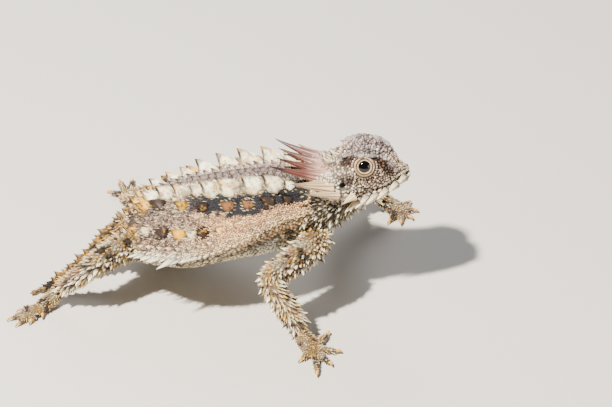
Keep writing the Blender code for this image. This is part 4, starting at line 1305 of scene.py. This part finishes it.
def strew(
    coat, shape, mask, spacing, size, way=None, vary=0.15, tone=0.16, tip=1.12,
    tint=None, back=None, root=0.8, dark=0.0, picks=(), crease_shade=0.28, end=None,
):
    """Strews one kind of scale over a mask, in the markings' colours or a tint of its own."""
    at, normal, place, guide = strewn(mask, spacing)
    shade = colours(at, guide) if tint is None else np.tile(TINT[tint], (len(at), 1))
    shade = varied(motley(shade, picks), tone, dark)
    tips = shade * tip if end is None else varied(flat(end, len(at)), 0.2)
    ways = guide[:, WAY] if way is None else way(at)
    behind = None if back is None else np.tile(TINT[back], (len(at), 1))
    sized = np.array([size]) * rng.uniform(1 - vary, 1 + vary, (len(at), 1))
    # root paints the foot of each scale darker, as painted shade, and tip makes the tip lighter
    coat.lay(shape, at, normal, ways, sized, shade * root, tips, place, behind, crease_shade)


COAT_PIECES = []

# %% [markdown]
# The back is one carpet of fine grains with sharper scales standing proud in patches, and short
# straw spines over the rump. Each half is a piece of its own.

# %% Scales of the back
rump = on_trunk & ~on_belly & (face_x < -14)
for side, name in ((-1, "back_scales_right"), (1, "back_scales_left")):
    coat = Coat()
    here = on_trunk & ~on_belly & (face_side * side > 0)
    strew(
        coat, SPIKE, here & rump, 2.6, (0.9, 0.7, 2.1), trunk_way, 0.25,
        tint="straw", back="umber", end="umber", root=0.6,
    )
    proud = here & (noise(face_centres, 2.2, 31) > 0.62)
    strew(coat, POINTED, proud, 1.0, (0.55, 0.5, 0.95), trunk_way, 0.2, 0.3, 1.4, dark=0.12)
    grain = (0.3, 0.27, 0.32)
    strew(coat, GRANULE, here, 0.44, grain, trunk_way, 0.25, 0.28, dark=0.06, crease_shade=0.5)
    COAT_PIECES.append(coat.finish(name))

# %% [markdown]
# The belly is smooth. The neck is ragged with thin pale spines that cast dark gaps, and the tail
# has rows of short straw ones.

# %% Scales of belly, neck and tail
on_neck, on_tail = face_part == NECK_PART, face_part == TAIL_PART
TAIL_PICKS = ((0.2, "straw"), (0.15, "umber"))
rest = Coat()
strew(rest, GRANULE, on_belly, 0.78, (0.5, 0.44, 0.35), trunk_way, 0.15, 0.25, dark=0.06)
strew(
    rest, SPIKE, on_neck, 2.2, (0.9, 0.38, 1.9), straight_back, 0.4,
    tint="leg_pale", back="umber", root=0.5,
)
strew(
    rest, POINTED, on_neck, 0.72, (0.5, 0.42, 0.8), straight_back, 0.35, 0.4, 1.3,
    dark=0.1, picks=((0.15, "cream"),),
)
strew(
    rest, SPIKE, on_tail, 1.9, (0.95, 0.7, 1.8), None, 0.25,
    tint="straw", back="umber", end="umber", root=0.6,
)
strew(
    rest, POINTED, on_tail, 0.85, (0.7, 0.62, 1.0), None, 0.2, 0.3, 1.2,
    dark=0.12, picks=TAIL_PICKS,
)
COAT_PIECES.append(rest.finish("belly_neck_and_tail_scales"))

# %% [markdown]
# Legs are rough with sharp scales of mixed tints that point down the limb, and slender pale spines
# stand along their front and hind edges. Those of the feet are smaller.

# %% Scales of legs and feet
on_leg, on_foot = face_part == LEG_PART, face_part == FOOT_PART
leg_edge = np.abs(np.cos(face_guide[:, ROUND])) > 0.78
LEG_PICKS = ((0.22, "leg_pale"), (0.1, "gold"), (0.1, "rose"), (0.07, "umber"))
limbs = Coat()
strew(
    limbs, SPIKE, on_leg & leg_edge, 1.5, (1.05, 0.5, 1.8), None, 0.35,
    tint="leg_pale", back="brown", root=0.7,
)
for mask, spacing, size, tone, tip, root in (
    (on_leg, 0.82, (0.78, 0.66, 1.15), 0.3, 1.35, 0.62),
    (on_foot, 0.55, (0.42, 0.42, 0.6), 0.28, 1.25, 0.55),
):
    strew(
        limbs, POINTED, mask, spacing, size, None, 0.25, tone, tip,
        root=root, back="brown", picks=LEG_PICKS,
    )
COAT_PIECES.append(limbs.finish("leg_scales"))

# %% [markdown]
# The top of the head bears rough bevelled plates, the cheek smooth pale scales and the rest of the
# face small grains.

# %% Scales of the head
on_head = face_part == HEAD_PART
on_dome = on_head & (face_head[:, 2] > -1.2)
on_cheek = on_head & ~on_dome & (face_head[:, 0] < -5.5) & (face_head[:, 2] > -11.5)
on_jaw = on_head & ~on_dome & ~on_cheek
for shape, mask, spacing, size, vary, tone, tip, root, dark, crease_shade in (
    (PLATE, on_dome, 0.74, (0.46, 0.4, 0.5), 0.35, 0.42, 1.25, 0.45, 0.12, 0.28),
    (GRANULE, on_cheek, 0.66, (0.5, 0.44, 0.36), 0.3, 0.2, 1.1, 0.75, 0.05, 0.5),
    (GRANULE, on_jaw, 0.6, (0.42, 0.37, 0.5), 0.3, 0.3, 1.15, 0.6, 0.09, 0.28),
):
    strew(
        head, shape, mask, spacing, size, tumbled, vary, tone, tip,
        root=root, dark=dark, crease_shade=crease_shade,
    )
COAT_PIECES.append(head.finish("head_scales"))

# %% [markdown]
# The fringe runs along each flank where back meets belly: one row of white pointed scales that
# lie back and outward, the longest of them behind the middle, and a shorter row above it.

# %% Fringe
def flank_edge(x, side, across):
    """Skin where back meets belly: the edge lies lower in front and is drawn in a little."""
    edge = back_point(x, side * (across - 0.1 * step(x, 4, 24)))
    return on_skin(edge - along_table(FLANK_EDGE, x)[:, None] * BODY_UP)


def fringe(first, last, spacing, across, long, extra, drop):
    x = np.arange(first, last, spacing)
    for side in (-1, 1):
        at, _, place = flank_edge(x, side, across)
        out = side * BODY_LEFT
        spread = (0.35 + 0.35 * step(x, -15, -5))[:, None]
        lift = (0.5 * step(x, 2, 12) - drop)[:, None]
        ways = unit(0.85 * BACK_WAY + spread * out + lift * BODY_UP)
        lengths = long * (0.55 + 0.5 * bump(x, -12.0, 13.0)) * (1 - 0.35 * (np.arange(len(x)) % 2))
        lengths = lengths + extra * (np.arange(len(x)) % 4 == 1) * bump(x, -10.0, 12.0)
        lengths = lengths * rng.uniform(0.85, 1.15, len(x))
        lengths = np.where(np.abs(x + 3.0) < 0.5 * spacing, long + 3.0 * (extra > 1), lengths)
        size = np.stack([lengths, 0.1 * lengths + 0.2, 0.1 * lengths + 0.12], 1)
        ways = ways + 0.09 * rng.normal(size=(len(x), 3))
        up = np.tile(BODY_UP + 0.3 * out, (len(x), 1))
        tint = varied(flat("white", len(x)), 0.06)
        # the blades are painted darker at the root, as painted shade
        root, tip = tint * 0.55, tint * 1.1
        spines.lay(BLADE, at - 0.35 * out, up, ways, size, root, tip, place, crease_shade=0.45)


fringe(-23.0, 30.0, 1.5, 1.0, 3.8, 1.6, 0.12)
fringe(-21.0, 29.0, 1.6, 0.955, 1.9, 0.4, -0.1)

print("points with the fringe", spines.count)

# %% [markdown]
# In front the flank ends in a row of short pale teeth, close together, in place of long blades.

# %% Teeth of the flank in front
x = np.arange(3.0, 30.0, 1.9)
for side in (-1, 1):
    at, normal, place = flank_edge(x, side, 1.0)
    ways = np.tile(unit(BACK_WAY + 0.35 * BODY_UP), (len(x), 1))
    size = np.array([[1.15, 0.9, 1.7]]) * rng.uniform(0.75, 1.15, (len(x), 1))
    tint = varied(flat("cream", len(x)), 0.1)
    stand = normal + 0.5 * BODY_UP
    # each tooth is painted brown on its side under the tip and darker at its foot, as painted
    # shade
    back = flat("brown", len(x))
    spines.lay(POINTED, at, stand, ways, size, tint * 0.7, tint * 1.15, place, back, 0.3)
print("teeth on each side", len(x))

# %% [markdown]
# Chin shields hang from each side of the lower jaw as a row of pale plates, the hindmost longest.

# %% Chin shields
CHIN = (
    (11.4, 3.6, -4.9), (8.6, 5.7, -6.7), (5.0, 6.9, -8.9), (1.6, 7.9, -10.3), (-1.2, 8.7, -11.5),
)
SHIELD_SPOTS = (("lid", 0.9, 0.55, 0.6), ("brown", 0.5, 0.7, 0.7))
t = np.linspace(0, 1, 6)
for side in (-1, 1):
    at, normal, place = on_skin(head_point(mirrored(samples_of(CHIN, len(t)), side)))
    way, face = head_way((-0.7, 0.45, -0.6), side), head_way((0.3, 0.8, 0.3), side)
    long = 3.4 + 2.8 * t**1.5
    size = np.stack([long, 1.5 - 0.3 * t, 1.0 - 0.1 * t], 1)
    tint = varied(flat("cream", len(t)), 0.1)
    # the shields are painted darker at the root, as painted shade
    spines.lay(
        BLADE, at + 0.5 * normal, face + 0.1 * normal, way, size, tint * 0.4, tint * 1.15, place,
        crease_shade=0.3, spots=SHIELD_SPOTS,
    )
COAT_PIECES.append(spines.finish("spines_and_fringe"))

# %% [markdown]
# The crown: long horns of the hind edge of the skull, each a tapering ridged cone, broad and
# flattened at its foot, with a dark tip.

# %% Horns
HORN_TAN = {"temporal_upper": 0.7, "temporal_middle": 0.8, "temporal_lower": 1.0}
HORN_BURIED = 1.6  # how deep a horn starts in the skull
FLUTES = 11


def horn(kind, side, side_name, root, outward, upward, length, radius):
    turn, rise = math.radians(outward), math.radians(upward)
    level = math.cos(rise)
    way = (-math.cos(turn) * level, side * math.sin(turn) * level, math.sin(rise))
    way, root = np.array(way), mirrored(root, side)
    base, tip = head_point(root - HORN_BURIED * way), head_point(root + length * way)
    forward = unit(tip - base)
    up = unit(np.cross(np.cross(forward, HEAD_TURN[:, 2]), forward))
    left = np.cross(up, forward)
    stout = 1.2 if kind.startswith("temporal") else 1.05

    def place(t, angle):
        grooves = 1 + 0.09 * np.cos(FLUTES * angle + 3 * t) * (1 - t)
        wide = radius * (stout * (1 - t) ** 1.1 + 0.3 * bump(t, 0.0, 0.22)) * grooves + 0.1
        wide = wide * np.minimum(1, t / 0.03 + 0.02) * np.minimum(1, (1 - t) / 0.02)
        bend = 0.11 * length * (t**2 - t)
        line = base + t[:, None] * (tip - base) + bend[:, None] * up
        return line + around_line(left, up, wide, 0.8 * wide, angle)

    bm = bmesh.new()
    add_form(bm, 66, 44, place)
    mesh = mesh_of(f"look_horn_{kind}_{side_name}", bm)
    mesh.shade_smooth()
    at = coords(mesh)
    along = (at - base) @ forward / (length + HORN_BURIED)
    round_it = np.arctan2((at - base) @ up, (at - base) @ left)
    tan = HORN_TAN.get(kind, 0.0)
    # the troughs of the flutes near the foot are painted darker, as painted shade in the grooves
    groove = step(-np.cos(FLUTES * round_it + 3 * along), -0.1, 0.6) * step(along, 0.0, 0.25)
    dark = step(along + 0.2 * (noise(at, 1.0, 41) - 0.5), 0.5, 0.95)
    foot, deep = (
        mix(flat(tint, len(at)), TINT["horn_tan"], np.full(len(at), tan))
        for tint in ("horn_pale", "horn")
    )
    shade = painted(
        mix(foot, deep, step(along, 0.05, 0.45)),
        ("horn_tip", (0.65 - 0.15 * tan) * groove),
        ("horn_tip", dark * (1 - 0.6 * tan)),
    )
    paint(mesh, shade)
    return linked(mesh.name, mesh)


horns = []
for kind, *measures in HORNS:
    for side, side_name in ((-1, "right"), (1, "left")):
        body = horn(kind, side, side_name, *measures)
        horns.append((body, f"horn_{kind}_{side_name}"))
print("horns", len(horns))

# %% [markdown]
# Eyes are dark glossy balls. A narrow tan edge of lid lies round each, then a wider tan fold and a
# dark one, set with rings of small grains that are browner below.

# %% Eyes and lids
PUPIL_RADIUS = 1.85
LID_RINGS = (
    # radius, distance out from the middle of the eye, thickness and tint
    (2.05, 2.0, 1.3, "lid_edge"), (2.62, 1.7, 2.6, "lid"), (3.2, 1.15, 2.6, "lid_fold"),
)
LID_GRAINS = (
    # radius, distance out, number, size and tint
    (2.36, 2.3, 52, 0.14, "lid_fold"), (2.74, 2.2, 34, 0.2, "lip"),
    (3.16, 1.75, 52, 0.2, "lid_fold"), (3.55, 1.35, 30, 0.4, "face"),
)


def eye(name, side):
    bm = bmesh.new()
    at = head_point(mirrored(LOOK_EYE_AT, side))
    middle = Matrix.Translation(at.tolist())
    bmesh.ops.create_uvsphere(bm, u_segments=48, v_segments=32, radius=EYE_RADIUS, matrix=middle)
    mesh = mesh_of(name, bm)
    mesh.shade_smooth()
    out = unit(head_way(LID_AXIS, side))
    facing = unit(coords(mesh) - at) @ out
    edge = math.sqrt(1 - (PUPIL_RADIUS / EYE_RADIUS) ** 2)
    iris, pupil = flat("ear", len(mesh.vertices)) * 0.5, TINT["ear"] * 0.1
    paint(mesh, mix(iris, pupil, step(facing, edge - 0.05, edge)))
    return linked(name, mesh), at, out


def ring(bm):
    """A ring of radius 1 and thickness 0.18, as a fold of lid."""
    bmesh.ops.create_circle(bm, segments=12, radius=0.18)
    bmesh.ops.rotate(bm, matrix=Matrix.Rotation(math.pi / 2, 3, "X"), verts=bm.verts)
    bmesh.ops.translate(bm, vec=(1.0, 0.0, 0.0), verts=bm.verts)
    bmesh.ops.spin(
        bm, geom=bm.verts[:] + bm.edges[:], axis=(0, 0, 1), cent=(0, 0, 0),
        angle=2 * math.pi, steps=48, use_merge=True,
    )
    bmesh.ops.remove_doubles(bm, verts=bm.verts, dist=0.001)


RING = shape_of(ring)
lids = Coat()
eyes = []
for side, side_name in ((-1, "right"), (1, "left")):
    body, at, out = eye(f"look_eye_{side_name}", side)
    eyes.append((body, f"eye_{side_name}"))
    ahead = unit(HEAD_TURN[:, 0] - (HEAD_TURN[:, 0] @ out) * out)
    above = np.cross(out, ahead) * side * -1
    for radius, depth, thick, tint in LID_RINGS:
        centre, shade = np.array([at + depth * out]), flat(tint, 1)
        _, _, place = on_skin(centre)
        size = (radius, radius * 0.97, thick)
        lids.lay(RING, centre, out[None], ahead[None], size, shade, shade, place, crease_shade=0.8)
    for radius, depth, count, grain, tint in LID_GRAINS:
        turn = np.linspace(0, 2 * np.pi, count, endpoint=False) + radius
        around = np.cos(turn)[:, None] * ahead + 0.97 * np.sin(turn)[:, None] * above
        places = at + radius * around + depth * out
        _, _, place = on_skin(places)
        size = np.tile((grain, grain * 1.1, grain), (count, 1))
        below = 0.6 * step(-np.sin(turn), 0.2, 0.8)
        tints = varied(painted(flat(tint, count), ("brown", below)), 0.15)
        stand = unit(around * 0.5 + out)
        lids.lay(GRANULE, places, stand, around, size, tints, tints * 1.1, place)
lid_piece = lids.finish("eyelids")

# %% [markdown]
# Every toe ends in a thin claw of horn, yellow at its root and dark at its tip, that arches to the
# ground.

# %% Claws
CLAW_END = 0.25  # height of the tips over the ground


def claw(root, end):
    """Sends the points of a sphere to a claw from its root to its end."""
    way = unit(end - root)
    left = unit(np.cross((0, 0, 1), way))
    up = np.cross(way, left)

    def place(t, angle):
        wide = 0.6 * (1 - t) ** 0.7 * np.minimum(1, 8 * t)
        line = root + t[:, None] * (end - root)
        line[:, 2] += 0.5 * np.sin(np.pi * t)
        return line + around_line(left, up, wide, 1.1 * wide, angle)

    return place


claws = []
for leg_name, leg in LEGS.items():
    bm, ends = bmesh.new(), []
    for root, tip, flat_way in foot_forms(leg)[2]:
        root = root - 0.5 * flat_way
        root[2] = 1.15
        ends.append(np.array((tip[0], tip[1], CLAW_END)))
        add_form(bm, 14, 14, claw(root, ends[-1]))
    mesh = mesh_of("claws", bm)
    mesh.shade_smooth()
    at = coords(mesh)
    near = np.linalg.norm(at[:, None] - np.array(ends)[None], axis=2).min(1)
    paint(mesh, painted(flat("claw", len(at)), ("claw_tip", 1 - step(near, 0.5, 1.4))))
    claws.append(linked("claws_" + leg_name, mesh))
print("feet with claws", len(claws))

# %% [markdown]
# The finishes read the marking that was painted on each mesh. Scales are dry and dull, horn has
# a faint sheen, eyes are wet.

# %% Finishes
def node(tree, kind, links=(), **settings):
    made = tree.nodes.new(kind)
    for key, value in settings.items():
        setattr(made, key, value)
    for name, value in links:
        if isinstance(value, bpy.types.NodeSocket):
            tree.links.new(value, made.inputs[name])
        else:
            made.inputs[name].default_value = value
    return made


FINISHES = {
    # roughness, size of the grain in millimetres and strength of the grain
    "lizard_skin": (0.85, 0.4, 0.3),  # skin in the gaps between scales
    "dry_scales": (0.62, 0.25, 0.35),  # scales of back, belly, legs and head
    "spine_horn": (0.5, 0.3, 0.3),  # fins, spines, fringe and chin shields
    "crown_horn": (0.42, 0.35, 0.4),  # long horns of the skull
    "claw_horn": (0.35, 0.3, 0.1),  # claws, worn smooth
    "wet_eye": (0.06, 0.3, 0.0),  # wet ball of the eye, without grain
}
GRAIN_HEIGHT = 0.0001  # metres


def finish_of(name, roughness, grain_mm, strength):
    """A finish whose colour is the painted marking, with fine grain of the given size."""
    made = bpy.data.materials.new(name)
    made.use_nodes = True
    tree = made.node_tree
    shader = tree.nodes["Principled BSDF"]
    marking = node(tree, "ShaderNodeVertexColor", layer_name="marking")
    tree.links.new(marking.outputs["Color"], shader.inputs["Base Color"])
    shader.inputs["Roughness"].default_value = roughness
    if strength:
        where = node(tree, "ShaderNodeTexCoord").outputs["Object"]
        scale = 1000 / grain_mm
        grain = node(
            tree, "ShaderNodeTexNoise", [("Vector", where), ("Scale", scale), ("Detail", 2.0)]
        )
        height = ("Height", grain.outputs["Fac"])
        lift = node(
            tree, "ShaderNodeBump", [height, ("Strength", strength), ("Distance", GRAIN_HEIGHT)]
        )
        tree.links.new(lift.outputs["Normal"], shader.inputs["Normal"])
    return made


finishes = {name: finish_of(name, *values) for name, values in FINISHES.items()}
print("finishes", sorted(finishes))

# %% [markdown]
# The animal is moved as a whole so that its right eye's plain place meets the eye of the solids.
# Every piece rides the one body and hides the solids that it stands for, if any.

# %% Into the frame
eye_low, eye_high = (np.array(corner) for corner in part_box("eye_right"))
SHIFT = (eye_low + eye_high) / 2 * 1000 - head_point(mirrored(EYE_AT, -1))
print("shift", SHIFT)


def settle(body, finish, slot, *nodes):
    """Turns a piece from millimetres into the frame's metres and gives it its finish."""
    body.data.transform(Matrix.Scale(0.001, 4) @ Matrix.Translation(SHIFT.tolist()))
    body.data.materials.clear()
    body.data.materials.append(finish)
    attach(body, "root")
    if nodes:
        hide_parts(*nodes)


FLESH = [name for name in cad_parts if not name.startswith(("horn_", "eye_"))]
# The skin between the scales is painted dark, as painted shade in the gaps.
shade = skin_colours * 0.34
# mouth groove, ear pit and nostrils are painted darker still, as painted shade in these hollows
hollow_shade = np.maximum.reduce([
    np.exp(-((mouth_away / 0.5) ** 2)),
    np.exp(-((ear_away / 1.25) ** 6)),
    np.exp(-((nostril_away / 0.6) ** 4)),
])
shade[of_head] = mix(shade[of_head], TINT["ear"] * 0.35, hollow_shade)
paint(skin.data, 0.5 * shade)
skin.data.shade_smooth()
settle(skin, finishes["lizard_skin"], "scaled_skin", *FLESH)
for body in COAT_PIECES:
    kind = "spine_horn" if body.name.startswith("spines") else "dry_scales"
    settle(body, finishes[kind], "scaled_skin")
settle(lid_piece, finishes["dry_scales"], "scaled_skin")
for body, name in horns:
    settle(body, finishes["crown_horn"], "horn", name)
for body, name in eyes:
    settle(body, finishes["wet_eye"], "eye", name)
for body in claws:
    settle(body, finishes["claw_horn"], "horn")

# %% [markdown]
# A plain pale floor and studio light: one hard warm lamp as the sun, with soft cool ones.

# %% Floor and light
LAMPS = {
    # place, size and power, then where it aims and its tint
    "key": ((-0.36, -0.36, 0.8), 0.05, 38.0, (0.01, 0.0, 0.02), (1.0, 0.93, 0.82)),
    "fill": ((0.85, -0.4, 0.2), 0.5, 3.0, (0.0, 0.0, 0.02), (0.9, 0.94, 1.0)),
    "rim": ((-0.1, 0.7, 0.5), 0.4, 4.0, (0.0, 0.0, 0.03), (1.0, 1.0, 1.0)),
}
bm = bmesh.new()
bmesh.ops.create_grid(bm, x_segments=1, y_segments=1, size=3.0)
floor = linked("floor", mesh_of("floor", bm))
paper = bpy.data.materials.new("floor_paper")
paper.use_nodes = True
shader = paper.node_tree.nodes["Principled BSDF"]
shader.inputs["Base Color"].default_value = (*linear("#cfcbc6"), 1)
shader.inputs["Roughness"].default_value = 0.9
floor.data.materials.append(paper)

for name, (at, size, power, aim, tint) in LAMPS.items():
    light = bpy.data.lights.new(name, "AREA")
    light.size, light.energy, light.color = size, power, tint
    body = linked(name, light)
    body.location = at
    body.rotation_euler = (Vector(aim) - Vector(at)).to_track_quat("-Z", "Y").to_euler()
world = bpy.data.worlds.new("studio")
world.use_nodes = True
world.node_tree.nodes["Background"].inputs["Color"].default_value = (0.85, 0.88, 0.92, 1)
world.node_tree.nodes["Background"].inputs["Strength"].default_value = 0.2
bpy.context.scene.world = world

# %% [markdown]
# The camera looks down on the animal's right side at 33 degrees. Its lens is long, so that 0.3 mm
# of the animal in its middle plane fill one pixel of the frame.

# %% Camera
CAMERA_RISE, CAMERA_DISTANCE = math.radians(33.0), 0.9
FRAME_WIDTH = 612 * 0.0003
FRAME_MIDDLE = (31.8, 0.0, 26.3)
SENSOR = 36.0
camera = linked("camera", bpy.data.cameras.new("camera"))
way = Vector((0.0, -math.cos(CAMERA_RISE), math.sin(CAMERA_RISE)))
aim = (np.array(FRAME_MIDDLE) + SHIFT) * 0.001
camera.location = Vector(aim.tolist()) + CAMERA_DISTANCE * way
camera.rotation_euler = (-way).to_track_quat("-Z", "Y").to_euler()
camera.data.sensor_width = SENSOR
camera.data.lens = SENSOR * CAMERA_DISTANCE / FRAME_WIDTH
camera.data.clip_start = 0.01
bpy.context.scene.camera = camera
print("lens", camera.data.lens)
